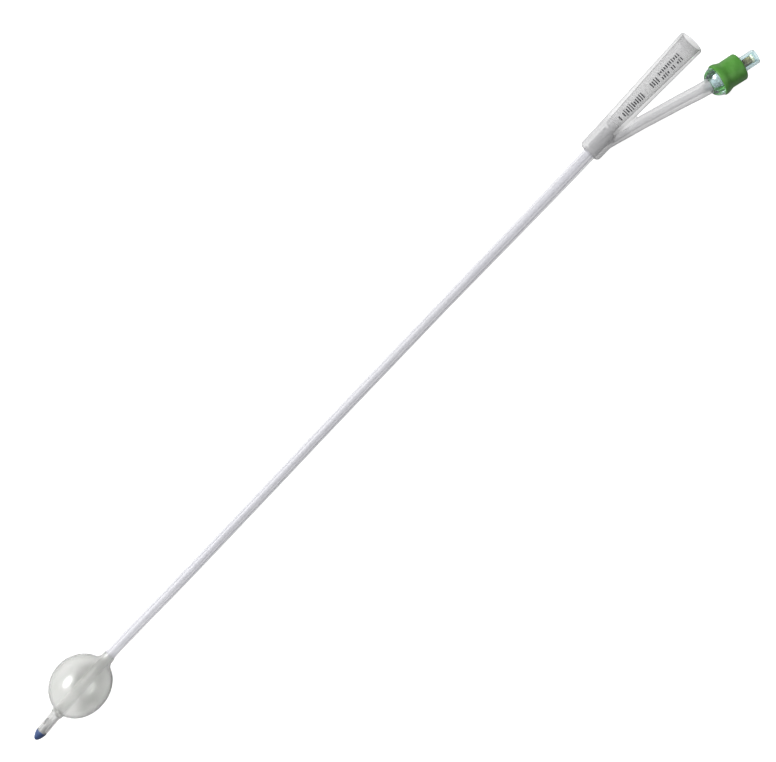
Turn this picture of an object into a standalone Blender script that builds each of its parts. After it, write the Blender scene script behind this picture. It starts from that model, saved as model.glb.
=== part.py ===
"""A two-way silicone balloon catheter, 14 Charriere, lying on a table with its balloon filled.

Lengths are in metres and +Z is up. The shaft lies along X, its tip at -X and the drainage
funnel's mouth at +X. The origin is under the middle of the whole catheter, on the table.
"""

import math

import bmesh
import bpy
from mathutils import Matrix, Vector

# Fits
FIT = 0.0003                     # clearance between pieces that seat on each other
CUT = 0.002                      # how far a cutter reaches past the face it opens
EDGE = 0.00025                   # moulded edges

# Facets
STATION = 0.0095                 # spacing of the cross sections along the shaft
TURNED_SIDES = 28
FINE_SIDES = 20
COIL_POINTS = 9                  # points in one turn of the spring

# Shaft, an extruded tube with two lumens
SHAFT_OD = 0.0047
SHAFT_ROOT_OD = 0.0056           # where it goes into the boss
SHAFT_FLARE = 0.085              # length over which it widens to that
DRAIN_LUMEN_D = 0.0026
INFLATION_LUMEN_D = 0.0007
DRAIN_OFFSET = 0.00035           # drainage lumen's centre from the shaft's axis
INFLATION_OFFSET = 0.0016        # inflation lumen's centre from the shaft's axis
LUMEN_ANGLE_TIP = math.radians(65)       # inflation lumen's place, from the top towards -Y
LUMEN_ANGLE_JUNCTION = math.radians(90)

# Tip
TIP_LENGTH = 0.0045
TIP_TAPER = 1.3                  # of the nose: 2 makes it an ellipse, 1 a parabola
TIP_SPIGOT_LENGTH = 0.0022

# Drainage eyes, one each side of the drainage lumen
EYE_LENGTH = 0.0034
EYE_WIDTH = 0.0017
EYE_UPPER_BACK = 0.0042          # eye centres, behind the tip's joint
EYE_LOWER_BACK = 0.0064

# Balloon
BALLOON_LENGTH = 0.0280
BALLOON_OD = 0.0248
BALLOON_WALL = 0.00035
BALLOON_SQUASH = 0.0004          # how far its weight presses it flat on the table
TIP_COLLAR_END = 0.0152          # collar ends, from the balloon's middle
SHAFT_COLLAR_END = 0.0172
COLLAR_STRAIGHT = 0.0010
COLLAR_FILLET = 0.00035          # where the round form meets the tip's collar
SHAFT_SHOULDER = 0.0009          # the shoulder leaves the round form this far before its end
PORT_D = 0.0009

# Where the catheter lies, seen from above, and how it lifts off the table
BALLOON_AT = (-0.1791, 0.0058)
BALLOON_PITCH = math.radians(10)         # the shaft falls from the balloon to the table
BALLOON_HEADING = math.radians(1.3)
STRAIGHT_END = 0.0191            # the shaft is straight this far past the balloon's middle
TIP_BEND_START = 0.0158
TIP_BEND = [(0.0222, -0.00021, 0.0), (0.0284, -0.00044, -0.0003)]    # out, aside, up
SHAFT_LAY = [                    # x, y and the lift above lying flat
    (-0.1420, 0.0061, 0.0039),
    (-0.1176, 0.0058, 0.0014),
    (-0.0950, 0.0057, 0.0004),
    (-0.0700, 0.0056, 0.0),
    (-0.0300, 0.0055, 0.0),
    (0.0100, 0.0052, 0.0),
    (0.0450, 0.0049, 0.0),
    (0.0700, 0.00455, 0.0004),
    (0.0950, 0.00423, 0.0011),
    (0.1100, 0.00408, 0.00145),
]

# Drainage funnel and the boss at its root
FUNNEL_AT = (0.1238, 0.0053)     # the funnel's root
FUNNEL_HEADING = math.radians(-0.45)     # its mouth is a little towards the arm
FUNNEL_LENGTH = 0.0602
FUNNEL_ROOT_OD = 0.0081
FUNNEL_MOUTH_OD = 0.0112
FUNNEL_WALL = 0.0010             # at the mouth
FUNNEL_BORE_ROOT_D = 0.0052
FUNNEL_BORE_ROUND = 0.0010
FUNNEL_RIM_ROUND = 0.00035
SHAFT_ASIDE = 0.00125            # the shaft's axis, towards the arm from the funnel's
SOCKET_DEPTH = 0.0120
SEAT_BORE_D = 0.0030
SEAT_LENGTH = 0.0014
BOSS_ASIDE = 0.00085             # the boss's middle, towards the arm from the funnel's axis
BOSS_WIDTH = 0.0101
BOSS_HEIGHT = 0.0079
BOSS_LENGTH = 0.0160
BOSS_STRAIGHT = 0.0085
BOSS_ROUND = 0.0013

# Inflation arm
ARM_ROOT_OD = 0.0040
ARM_MIDDLE_OD = 0.0055
ARM_END_OD = 0.0064
ARM_FLARE = 0.0180               # length over which the root swells to the middle size
ARM_BORE_D = 0.0024
ARM_ROOT_BORE_D = 0.0012
ARM_ROOT_BORE_LENGTH = 0.0060
ARM_ROUTE = [                    # its axis: share of the funnel's length, y from its root, height
    (0.056, -0.00290, 0.00396),
    (0.120, -0.00380, 0.00402),
    (0.251, -0.00575, 0.0043),
    (0.362, -0.00770, 0.0049),
    (0.485, -0.01015, 0.0056),
    (0.583, -0.01215, 0.0062),
    (0.684, -0.01418, 0.0067),
]
ARM_LEAN = [(0.0096, 0.0003), (0.0055, 0.00005)]     # before the lip, and off the valve's axis

# Inflation valve, its axis running from the arm to the luer nose
VALVE_AT = (0.930, -0.0188)      # inside the lip: share of the funnel's length, y from its root
VALVE_HEADING = math.radians(-13.9)
VALVE_PITCH = math.radians(3)    # nose down
SLEEVE_LENGTH = 0.0107
LIP_REACH = 0.0004               # the lip's end, towards the arm from the valve's origin
LIP_OD = 0.0134
LIP_ROUND = 0.00045
WAIST_OD = 0.0115
BARREL_OD = 0.0117
SLEEVE_BORE_D = 0.0095
SLEEVE_END_WALL = 0.0011
SLEEVE_SHOULDER = 0.0010
FLARE_LENGTH = 0.0036
SEAT_FLARE_LENGTH = 0.0029       # the same flare inside, where the base seats
NOSE_OD = 0.0063
NOSE_LENGTH = 0.0072             # past the sleeve
LUER_MOUTH_D = 0.0043
LUER_TAPER = 0.06
HOUSING_WALL = 0.00125           # valve body's wall round the seal chamber
SEAT_DEPTH = 0.0010              # the seat's foot, below the valve body's shoulder
SEAT_RISE = 0.96                 # the seal seat's height for each unit of radius
SKIRT_DEPTH = 0.0012             # valve body over the base
REGISTER_D = 0.0074              # base's ring inside the skirt
BASE_TOP = 0.0060                # end of that ring, from the lip
DOME_LENGTH = 0.0042             # base, from the valve's origin towards the arm
DOME_RIM_OD = 0.0124             # against the lip's end
DOME_OD = 0.0116                 # inside the lip
DOME_TAPER = 1.3                 # 1 makes its outline an ellipse, 2 a cone
ARM_SOCKET_FLOOR = 0.0015
SPIGOT_D = 0.0029
BARB_D = 0.0035
BARB_REACH = 0.0065              # barb's end, from the valve's origin towards the arm
BARB_LENGTH = 0.0020
BASE_BORE_D = 0.0012
SPRING_CUP_FLOOR = 0.0026

# Plunger, seal and spring
PLUNGER_STROKE = 0.0012          # until the collar stops on the base's cup
PLUNGER_STEM_D = 0.0015
PLUNGER_HEAD_LENGTH = 0.0010
PLUNGER_HEAD_DEPTH = 0.0016      # below the luer mouth
PLUNGER_COLLAR_D = 0.0046
PLUNGER_COLLAR_LENGTH = 0.0007
PLUNGER_TAIL_LENGTH = 0.0017
SEAL_FLANGE_LENGTH = 0.0007
SPRING_WIRE_D = 0.0003
SPRING_MEAN_D = 0.0029
SPRING_TURNS = 4
SPRING_ROOM = 0.0004             # between the coil and its cup


class Route:
    """A smooth path through chosen points, read by the distance along it."""

    def __init__(self, points, step=0.0005):
        knots = [Vector(point) for point in points]
        spans = [(b - a).length for a, b in zip(knots, knots[1:])]
        slopes = [(knots[1] - knots[0]) / spans[0]]
        for i in range(1, len(knots) - 1):
            before = (knots[i] - knots[i - 1]) / spans[i - 1]
            after = (knots[i + 1] - knots[i]) / spans[i]
            slopes.append((before * spans[i] + after * spans[i - 1]) / (spans[i - 1] + spans[i]))
        slopes.append((knots[-1] - knots[-2]) / spans[-1])
        self.line = [knots[0]]
        for i, span in enumerate(spans):
            count = max(2, math.ceil(span / step))
            for k in range(1, count + 1):
                t = k / count
                ahead = 3 * t ** 2 - 2 * t ** 3
                rise_in = (t ** 3 - 2 * t ** 2 + t) * span
                rise_out = (t ** 3 - t ** 2) * span
                point = knots[i].lerp(knots[i + 1], ahead)
                self.line.append(point + slopes[i] * rise_in + slopes[i + 1] * rise_out)
        self.reach = [0.0]
        for a, b in zip(self.line, self.line[1:]):
            self.reach.append(self.reach[-1] + (b - a).length)
        self.length = self.reach[-1]

    def span_at(self, distance):
        for i in range(len(self.line) - 2):
            if distance < self.reach[i + 1]:
                return i
        return len(self.line) - 2

    def at(self, distance):
        i = self.span_at(distance)
        share = (distance - self.reach[i]) / (self.reach[i + 1] - self.reach[i])
        return self.line[i] + (self.line[i + 1] - self.line[i]) * share

    def direction(self, distance):
        i = self.span_at(distance)
        return (self.line[i + 1] - self.line[i]).normalized()

    def side(self, distance, angle):
        """The direction square to the path at an angle from the top, towards -Y at 90 degrees."""
        along = self.direction(distance)
        top = (Vector((0, 0, 1)) - along * along.z).normalized()
        return top * math.cos(angle) + along.cross(top) * math.sin(angle)

    def distance_of(self, point):
        nearest = min(range(len(self.line)), key=lambda i: (self.line[i] - point).length)
        return self.reach[nearest]


def stations(start, end, spacing):
    count = max(1, math.ceil((end - start) / spacing))
    return [start + (end - start) * i / count for i in range(count + 1)]


def arc(centre, radii, start, end, count):
    """Points on an ellipse's arc, as radius and height; the angles are in degrees."""
    points = []
    for i in range(count + 1):
        angle = math.radians(start + (end - start) * i / count)
        points.append((centre[0] + radii[0] * math.cos(angle), centre[1] + radii[1] * math.sin(angle)))
    return points


def clear_scene():
    for obj in list(bpy.data.objects):
        bpy.data.objects.remove(obj, do_unlink=True)


def collection(name):
    group = bpy.data.collections.new(name)
    bpy.context.scene.collection.children.link(group)
    return group


def material(name, colour, roughness, metallic=0.0, transmission=0.0):
    made = bpy.data.materials.new(name)
    made.use_nodes = True
    shader = made.node_tree.nodes["Principled BSDF"]
    shader.inputs["Base Color"].default_value = (*colour, 1.0)
    shader.inputs["Roughness"].default_value = roughness
    shader.inputs["Metallic"].default_value = metallic
    shader.inputs["Transmission Weight"].default_value = transmission
    made.diffuse_color = (*colour, 1.0)
    return made


def empty(name, group, parent=None, matrix=Matrix.Identity(4)):
    made = bpy.data.objects.new(name, None)
    group.objects.link(made)
    made.parent = parent
    made.matrix_local = matrix
    return made


def place(name, data, group, parent=None):
    made = bpy.data.objects.new(name, data)
    group.objects.link(made)
    made.parent = parent
    return made


def as_cutter(obj):
    obj.hide_render = True
    obj.display_type = "WIRE"
    return obj


def turned(name, profile, sides, group, parent=None, closed=True):
    """A profile of (radius, height) points turned about the local Z axis."""
    mesh = bpy.data.meshes.new(name)
    count = len(profile)
    edges = [(i, i + 1) for i in range(count - 1)]
    if closed:
        edges.append((count - 1, 0))
    mesh.from_pydata([(radius, 0.0, height) for radius, height in profile], edges, [])
    made = place(name, mesh, group, parent)
    screw = made.modifiers.new("Turn", "SCREW")
    screw.steps = sides
    screw.render_steps = sides
    screw.use_merge_vertices = True
    screw.merge_threshold = 0.00001
    screw.use_smooth_shade = True
    return made


def tube(name, points, radii, resolution, group, parent=None):
    """A round tube through the points, made a closed mesh so that it can be cut and joined."""
    curve = bpy.data.curves.new(name, "CURVE")
    curve.dimensions = "3D"
    curve.bevel_depth = 1.0
    curve.bevel_resolution = resolution
    curve.use_fill_caps = True
    spline = curve.splines.new("POLY")
    spline.points.add(len(points) - 1)
    for knot, point, radius in zip(spline.points, points, radii):
        knot.co = (*point, 1.0)
        knot.radius = radius
    source = place(name + "_curve", curve, group)
    evaluated = source.evaluated_get(bpy.context.evaluated_depsgraph_get())
    mesh = bpy.data.meshes.new_from_object(evaluated)
    bpy.data.objects.remove(source, do_unlink=True)
    weld = bmesh.new()
    weld.from_mesh(mesh)
    bmesh.ops.remove_doubles(weld, verts=weld.verts, dist=0.000001)
    weld.to_mesh(mesh)
    weld.free()
    mesh.shade_smooth()
    mesh.set_sharp_from_angle(angle=math.radians(40))
    return place(name, mesh, group, parent)


def oval_cutter(name, centre, outward, along, width, length, depth, group):
    """An oval prism from the centre outwards; length lies along the given direction."""
    across = outward.cross(along).normalized()
    square_along = across.cross(outward).normalized()
    mesh = bpy.data.meshes.new(name)
    shape = bmesh.new()
    bmesh.ops.create_cone(shape, cap_ends=True, segments=14, radius1=0.5, radius2=0.5, depth=1.0)
    turn = Matrix((square_along, across, outward)).transposed().to_4x4()
    size = Matrix.Diagonal((length, width, depth, 1.0))
    shift = Matrix.Translation(centre + outward * depth / 2)
    bmesh.ops.transform(shape, matrix=shift @ turn @ size, verts=shape.verts)
    bmesh.ops.recalc_face_normals(shape, faces=shape.faces)
    shape.to_mesh(mesh)
    shape.free()
    return as_cutter(place(name, mesh, group))


def boolean(obj, operand, operation="DIFFERENCE"):
    made = obj.modifiers.new(operand.name, "BOOLEAN")
    made.operation = operation
    made.solver = "EXACT"
    made.object = operand


def balloon_centre_height():
    """Height of the balloon's middle, where the tilted oval rests pressed on the table."""
    along = BALLOON_LENGTH / 2 * math.sin(BALLOON_PITCH)
    across = BALLOON_OD / 2 * math.cos(BALLOON_PITCH)
    return math.hypot(along, across) - BALLOON_SQUASH


def balloon_axis():
    """From the tip towards the shaft."""
    level = Vector((math.cos(BALLOON_HEADING), math.sin(BALLOON_HEADING), 0))
    return level * math.cos(BALLOON_PITCH) - Vector((0, 0, math.sin(BALLOON_PITCH)))


def shaft_route():
    """The shaft's axis from the end of the tip to the inside of the funnel's root."""
    centre = Vector((*BALLOON_AT, balloon_centre_height()))
    along = balloon_axis()
    points = []
    for out, aside, up in reversed(TIP_BEND):
        points.append(centre - along * out + Vector((0, aside, up)))
    points.append(centre - along * TIP_BEND_START)
    points.append(centre)
    points.append(centre + along * STRAIGHT_END)
    for x, y, lift in SHAFT_LAY:
        points.append(Vector((x, y, SHAFT_OD / 2 + lift)))
    root = funnel_matrix()
    points.append(root @ Vector((SHAFT_ASIDE, 0, -FIT)))
    points.append(root @ Vector((SHAFT_ASIDE, 0, SOCKET_DEPTH + CUT)))
    return Route(points)


def funnel_matrix():
    """The funnel lies on its side: local Z is its axis and local X points towards the arm."""
    pitch = math.atan((FUNNEL_MOUTH_OD - FUNNEL_ROOT_OD) / 2 / FUNNEL_LENGTH)
    heading = Vector((math.cos(FUNNEL_HEADING), math.sin(FUNNEL_HEADING), 0))
    axis = heading * math.cos(pitch) + Vector((0, 0, math.sin(pitch)))
    aside = heading.cross(Vector((0, 0, 1)))
    height = FUNNEL_ROOT_OD / 2 / math.cos(pitch)
    turn = Matrix((aside, axis.cross(aside), axis)).transposed().to_4x4()
    return Matrix.Translation((*FUNNEL_AT, height)) @ turn


def beside_funnel(share, y):
    """A place seen from above, by its share of the funnel's length and its distance aside."""
    return FUNNEL_AT[0] + FUNNEL_LENGTH * share, FUNNEL_AT[1] + y


def valve_matrix():
    """Local Z runs from the sleeve's lip towards the luer nose; the lip rests on the table."""
    axis = Vector((
        math.cos(VALVE_PITCH) * math.cos(VALVE_HEADING),
        math.cos(VALVE_PITCH) * math.sin(VALVE_HEADING),
        -math.sin(VALVE_PITCH),
    ))
    aside = Vector((0, 0, 1)).cross(axis).normalized()
    height = LIP_OD / 2 * math.cos(VALVE_PITCH) + (LIP_ROUND - LIP_REACH) * math.sin(VALVE_PITCH)
    turn = Matrix((aside, axis.cross(aside), axis)).transposed().to_4x4()
    return Matrix.Translation((*beside_funnel(*VALVE_AT), height)) @ turn


def lumen_angle(route, distance):
    share = distance / route.length
    return LUMEN_ANGLE_TIP + (LUMEN_ANGLE_JUNCTION - LUMEN_ANGLE_TIP) * share


def make_shaft(route, group, cutters, finish):
    start = TIP_LENGTH + FIT
    end = route.distance_of(funnel_matrix() @ Vector((SHAFT_ASIDE, 0, SOCKET_DEPTH - FIT)))
    boss_face = route.distance_of(funnel_matrix() @ Vector((SHAFT_ASIDE, 0, -FIT)))
    flare_start = boss_face - SHAFT_FLARE
    places = stations(start, flare_start, STATION)
    places += stations(flare_start, boss_face, STATION)[1:]
    places += stations(boss_face, end, STATION)[1:]
    radii = []
    for s in places:
        share = min(1.0, max(0.0, (s - flare_start) / SHAFT_FLARE))
        radii.append((SHAFT_OD + (SHAFT_ROOT_OD - SHAFT_OD) * share) / 2)
    shaft = tube("catheter_shaft", [route.at(s) for s in places], radii, 6, group)
    shaft.data.materials.append(finish)

    places = stations(start - CUT, end + CUT, STATION)
    lumens = (
        ("drainage_lumen", DRAIN_LUMEN_D, -DRAIN_OFFSET, 3),
        ("inflation_lumen", INFLATION_LUMEN_D, INFLATION_OFFSET, 1),
    )
    for name, bore, offset, resolution in lumens:
        points = [route.at(s) + route.side(s, lumen_angle(route, s)) * offset for s in places]
        cutter = tube(name, points, [bore / 2] * len(points), resolution, cutters)
        boolean(shaft, as_cutter(cutter))

    eyes = (
        ("eye_upper", start + EYE_UPPER_BACK, -math.pi / 2),
        ("eye_lower", start + EYE_LOWER_BACK, math.pi / 2),
    )
    for name, s, turn in eyes:
        angle = lumen_angle(route, s)
        middle = route.at(s) - route.side(s, angle) * DRAIN_OFFSET
        outward = route.side(s, angle + turn)
        along = route.direction(s)
        boolean(shaft, oval_cutter(name, middle, outward, along, EYE_WIDTH, EYE_LENGTH, SHAFT_OD, cutters))

    skive = route.distance_of(funnel_matrix() @ Vector((SHAFT_ASIDE, 0, ARM_ROOT_BORE_LENGTH)))
    openings = (
        ("balloon_port", route.distance_of(Vector((*BALLOON_AT, balloon_centre_height())))),
        ("arm_skive", skive),
    )
    for name, s in openings:
        outward = route.side(s, lumen_angle(route, s))
        middle = route.at(s) + outward * INFLATION_OFFSET
        along = route.direction(s)
        boolean(shaft, oval_cutter(name, middle, outward, along, PORT_D, PORT_D, CUT, cutters))
    return shaft


def make_tip(route, group, finish):
    """A solid rounded nose with a spigot that is bonded into the drainage lumen."""
    radius = SHAFT_OD / 2
    angle = lumen_angle(route, TIP_LENGTH)
    back = route.direction(TIP_LENGTH)
    inward = route.side(TIP_LENGTH, angle)
    turn = Matrix((inward, back.cross(inward), back)).transposed().to_4x4()
    mount = empty("tip_joint", group, None, Matrix.Translation(route.at(TIP_LENGTH)) @ turn)
    nose = []
    for i in range(9):
        share = 1 - (1 - i / 8) ** 2
        nose.append((radius * math.sqrt(1 - share ** TIP_TAPER), -TIP_LENGTH * share))
    tip = turned("rounded_tip", [(0, 0), *nose], FINE_SIDES, group, mount, closed=False)
    tip.data.materials.append(finish)

    spigot_radius = DRAIN_LUMEN_D / 2 - FIT
    inside = -TIP_LENGTH / 3
    outline = [
        (0, TIP_SPIGOT_LENGTH),
        (spigot_radius - EDGE, TIP_SPIGOT_LENGTH),
        (spigot_radius, TIP_SPIGOT_LENGTH - EDGE),
        (spigot_radius, inside),
        (0, inside),
    ]
    spigot = turned("tip_spigot", outline, 12, group, mount, closed=False)
    spigot.location.x = -DRAIN_OFFSET
    boolean(tip, as_cutter(spigot), "UNION")
    return tip, spigot


def balloon_outline():
    """The blown form's outer line, from the shaft end to the tip end."""
    half = BALLOON_LENGTH / 2
    radius = BALLOON_OD / 2
    collar = SHAFT_OD / 2 + FIT + BALLOON_WALL
    shoulder_at = half - SHAFT_SHOULDER
    shoulder_radius = radius * math.sqrt(1 - (shoulder_at / half) ** 2)
    shoulder_angle = math.degrees(math.asin(shoulder_at / half))
    collar_angle = math.degrees(math.acos((collar + COLLAR_FILLET) / radius))
    straight_from = SHAFT_COLLAR_END - COLLAR_STRAIGHT
    shoulder = []
    for i in range(4):
        t = i / 4
        fall = collar + (shoulder_radius - collar) * (1 - t) ** 2
        shoulder.append((fall, shoulder_at + (straight_from - shoulder_at) * t))
    round_part = arc((0, 0), (radius, half), shoulder_angle, -collar_angle, 15)[1:]
    top = [(collar, SHAFT_COLLAR_END), (collar, straight_from)]
    bottom = [(collar, -half), (collar, -TIP_COLLAR_END)]
    return top + list(reversed(shoulder)) + round_part + bottom


def make_balloon(route, group, finish):
    """An open blown sleeve round the shaft, bonded to it at a collar at each end."""
    centre = Vector((*BALLOON_AT, balloon_centre_height()))
    s = route.distance_of(centre)
    along = route.direction(s)
    aside = Vector((0, -1, 0))
    turn = Matrix((aside, along.cross(aside), along)).transposed().to_4x4()
    rough = turned("balloon_form", balloon_outline(), TURNED_SIDES, group, closed=False)
    rough.matrix_local = Matrix.Translation(centre) @ turn
    bpy.context.view_layer.update()
    evaluated = rough.evaluated_get(bpy.context.evaluated_depsgraph_get())
    mesh = bpy.data.meshes.new_from_object(evaluated)
    mesh.transform(rough.matrix_world)
    bpy.data.objects.remove(rough, do_unlink=True)
    for vertex in mesh.vertices:
        vertex.co.z = max(vertex.co.z, 0.0)
    balloon = place("retention_balloon", mesh, group)
    wall = balloon.modifiers.new("Wall", "SOLIDIFY")
    wall.thickness = BALLOON_WALL
    wall.offset = -1.0
    wall.use_even_offset = False
    balloon.data.materials.append(finish)
    return balloon


def arm_route():
    """The arm's axis from inside the root to the floor of the valve's socket."""
    valve = valve_matrix()
    points = [Vector((*beside_funnel(share, y), height)) for share, y, height in ARM_ROUTE]
    points += [valve @ Vector((aside, 0, -before)) for before, aside in ARM_LEAN]
    points.append(valve @ Vector((0, 0, ARM_SOCKET_FLOOR - FIT)))
    return Route(points)


def arm_radius(distance, length):
    swell = min(1.0, distance / ARM_FLARE)
    swell = swell * swell * (3 - 2 * swell)
    root, middle, end = ARM_ROOT_OD / 2, ARM_MIDDLE_OD / 2, ARM_END_OD / 2
    late = max(0.0, (distance - ARM_FLARE) / (length - ARM_FLARE))
    return root + (middle - root) * swell + (end - middle) * late


def make_funnel(group, cutters, finish):
    """One moulding: the drainage funnel, the boss round the shaft's end and the inflation arm."""
    axis = empty("funnel_axis", group, None, funnel_matrix())
    root, mouth = FUNNEL_ROOT_OD / 2, FUNNEL_MOUTH_OD / 2
    rim_round = (FUNNEL_RIM_ROUND, FUNNEL_RIM_ROUND)
    rim = arc((mouth - FUNNEL_RIM_ROUND, FUNNEL_LENGTH - FUNNEL_RIM_ROUND), rim_round, 90, 0, 2)
    foot = arc((root - BOSS_ROUND, BOSS_ROUND), (BOSS_ROUND,) * 2, 0, -90, 3)
    outline = [(0, FUNNEL_LENGTH), *rim, *foot, (0, 0)]
    funnel = turned("drainage_funnel", outline, TURNED_SIDES, group, axis, closed=False)
    funnel.data.materials.append(finish)

    width = BOSS_WIDTH / 2
    foot = arc((width - BOSS_ROUND, BOSS_ROUND), (BOSS_ROUND,) * 2, 0, -90, 3)
    nose = arc((0, BOSS_STRAIGHT), (width, BOSS_LENGTH - BOSS_STRAIGHT), 90, 0, 6)
    nose[0] = (0.0, BOSS_LENGTH)
    boss = turned("boss", [*nose, *foot, (0, 0)], TURNED_SIDES, cutters, axis, closed=False)
    boss.location.x = BOSS_ASIDE
    boss.scale.y = BOSS_HEIGHT / BOSS_WIDTH
    boolean(funnel, as_cutter(boss), "UNION")

    route = arm_route()
    places = stations(0, route.length, 0.005)
    radii = [arm_radius(s, route.length) for s in places]
    arm = tube("arm", [route.at(s) for s in places], radii, 6, cutters)
    boolean(funnel, as_cutter(arm), "UNION")

    bore_mouth = mouth - FUNNEL_WALL
    bore_root = FUNNEL_BORE_ROOT_D / 2
    bore_start = SOCKET_DEPTH + SEAT_LENGTH
    outline = [
        (0, FUNNEL_LENGTH + CUT),
        (bore_mouth, FUNNEL_LENGTH + CUT),
        (bore_mouth, FUNNEL_LENGTH),
        (bore_root, bore_start + FUNNEL_BORE_ROUND),
        (bore_root - FUNNEL_BORE_ROUND / 2, bore_start),
        (0, bore_start),
    ]
    bore = turned("funnel_bore", outline, FINE_SIDES, cutters, axis, closed=False)
    boolean(funnel, as_cutter(bore))

    socket_radius = SHAFT_ROOT_OD / 2 + FIT
    seat_radius = SEAT_BORE_D / 2
    outline = [
        (0, bore_start + CUT / 2),
        (seat_radius, bore_start + CUT / 2),
        (seat_radius, SOCKET_DEPTH),
        (socket_radius, SOCKET_DEPTH),
        (socket_radius, -CUT),
        (0, -CUT),
    ]
    socket = turned("shaft_socket", outline, FINE_SIDES, cutters, axis, closed=False)
    socket.location.x = SHAFT_ASIDE
    boolean(funnel, as_cutter(socket))

    widened = BARB_D / 2 + FIT
    widen_at = route.length - (BARB_REACH + ARM_SOCKET_FLOOR + 0.001)
    places = [0, ARM_ROOT_BORE_LENGTH, ARM_ROOT_BORE_LENGTH + 0.002]
    places += stations(ARM_ROOT_BORE_LENGTH + 0.006, widen_at - 0.001, 0.006)
    places += [widen_at, route.length + CUT]
    radii = [ARM_ROOT_BORE_D / 2] * 2 + [ARM_BORE_D / 2] * (len(places) - 4) + [widened] * 2
    bore = tube("arm_bore", [route.at(s) for s in places], radii, 3, cutters)
    boolean(funnel, as_cutter(bore))
    return funnel, axis


def flare(radius_out, radius_in, start, length, count):
    """Half a cosine from one radius to another, as on a bell's mouth."""
    points = []
    for i in range(count + 1):
        share = i / count
        fall = (1 - math.cos(math.pi * share)) / 2
        points.append((radius_out + (radius_in - radius_out) * fall, start + length * share))
    return points


def make_sleeve(group, axis, finish):
    """The coloured sleeve that clamps the valve's two halves: a flared lip, a waist and a barrel."""
    lip, waist, barrel = LIP_OD / 2, WAIST_OD / 2, BARREL_OD / 2
    bore = SLEEVE_BORE_D / 2
    shoulder = SLEEVE_SHOULDER
    end = arc((barrel - shoulder, SLEEVE_LENGTH - shoulder), (shoulder,) * 2, 90, 0, 4)
    lip_edge = arc((lip - LIP_ROUND, LIP_ROUND - LIP_REACH), (LIP_ROUND,) * 2, 0, -90, 3)
    outside = list(reversed(flare(lip, waist, 2 * LIP_ROUND - LIP_REACH, FLARE_LENGTH, 6)))
    inside = flare(dome_mouth_radius(), bore, LIP_ROUND, SEAT_FLARE_LENGTH, 4)
    hole = NOSE_OD / 2 + FIT
    outline = [
        (hole, SLEEVE_LENGTH),
        *end,
        *outside,
        *lip_edge,
        (dome_mouth_radius(), -LIP_REACH),
        *inside,
        (bore, SLEEVE_LENGTH - SLEEVE_END_WALL),
        (hole, SLEEVE_LENGTH - SLEEVE_END_WALL),
    ]
    sleeve = turned("valve_sleeve", outline, TURNED_SIDES, group, axis)
    sleeve.data.materials.append(finish)
    return sleeve


def dome_mouth_radius():
    """The sleeve's opening round the base's dome."""
    return DOME_OD / 2 + FIT


def make_base(group, axis, finish):
    """The clear base: a dome over the arm's end, a barbed spigot inside it and the spring's cup."""
    dome = DOME_OD / 2
    rim = DOME_RIM_OD / 2
    rim_face = -LIP_REACH - FIT
    body = SLEEVE_BORE_D / 2 - FIT
    register = REGISTER_D / 2
    socket = ARM_END_OD / 2 + FIT
    mouth = socket + EDGE
    ledge = BASE_TOP - SKIRT_DEPTH
    collar_cup = PLUNGER_COLLAR_D / 2 + FIT
    collar_floor = collar_foot() - PLUNGER_STROKE - FIT
    spring_cup = (SPRING_MEAN_D + SPRING_WIRE_D) / 2 + SPRING_ROOM
    barb_back = BARB_LENGTH - BARB_REACH
    seat = flare(dome, body, LIP_ROUND, SEAT_FLARE_LENGTH, 4)
    bell = []
    for i in range(7):
        angle = math.radians(90 * i / 6)
        radius = mouth + (rim - mouth) * math.cos(angle) ** DOME_TAPER
        bell.append((radius, rim_face - (DOME_LENGTH + rim_face) * math.sin(angle) ** DOME_TAPER))
    outline = [
        (collar_cup, BASE_TOP),
        (register, BASE_TOP),
        (register, ledge),
        (body, ledge),
        *reversed(seat),
        (dome, rim_face),
        *bell,
        (socket, -DOME_LENGTH),
        (socket, ARM_SOCKET_FLOOR),
        (SPIGOT_D / 2, ARM_SOCKET_FLOOR),
        (SPIGOT_D / 2, barb_back + EDGE),
        (BARB_D / 2, barb_back),
        (BASE_BORE_D / 2 + EDGE, -BARB_REACH),
        (BASE_BORE_D / 2, -BARB_REACH),
        (BASE_BORE_D / 2, SPRING_CUP_FLOOR),
        (spring_cup, SPRING_CUP_FLOOR),
        (spring_cup, collar_floor),
        (collar_cup, collar_floor),
    ]
    base = turned("valve_base", outline, TURNED_SIDES, group, axis)
    base.data.materials.append(finish)
    return base


def luer_radius(height):
    """The socket's taper, widest at the mouth."""
    return LUER_MOUTH_D / 2 - (SLEEVE_LENGTH + NOSE_LENGTH - height) * LUER_TAPER / 2


def housing_top():
    """The outer shoulder of the valve body, under the sleeve's end wall."""
    return SLEEVE_LENGTH - SLEEVE_END_WALL - FIT


def seat_height(radius):
    """The seal seat, a cone that narrows from the chamber to the luer socket."""
    return housing_top() - SEAT_DEPTH + (chamber_radius() - radius) * SEAT_RISE


def chamber_radius():
    return SLEEVE_BORE_D / 2 - FIT - HOUSING_WALL


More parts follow.
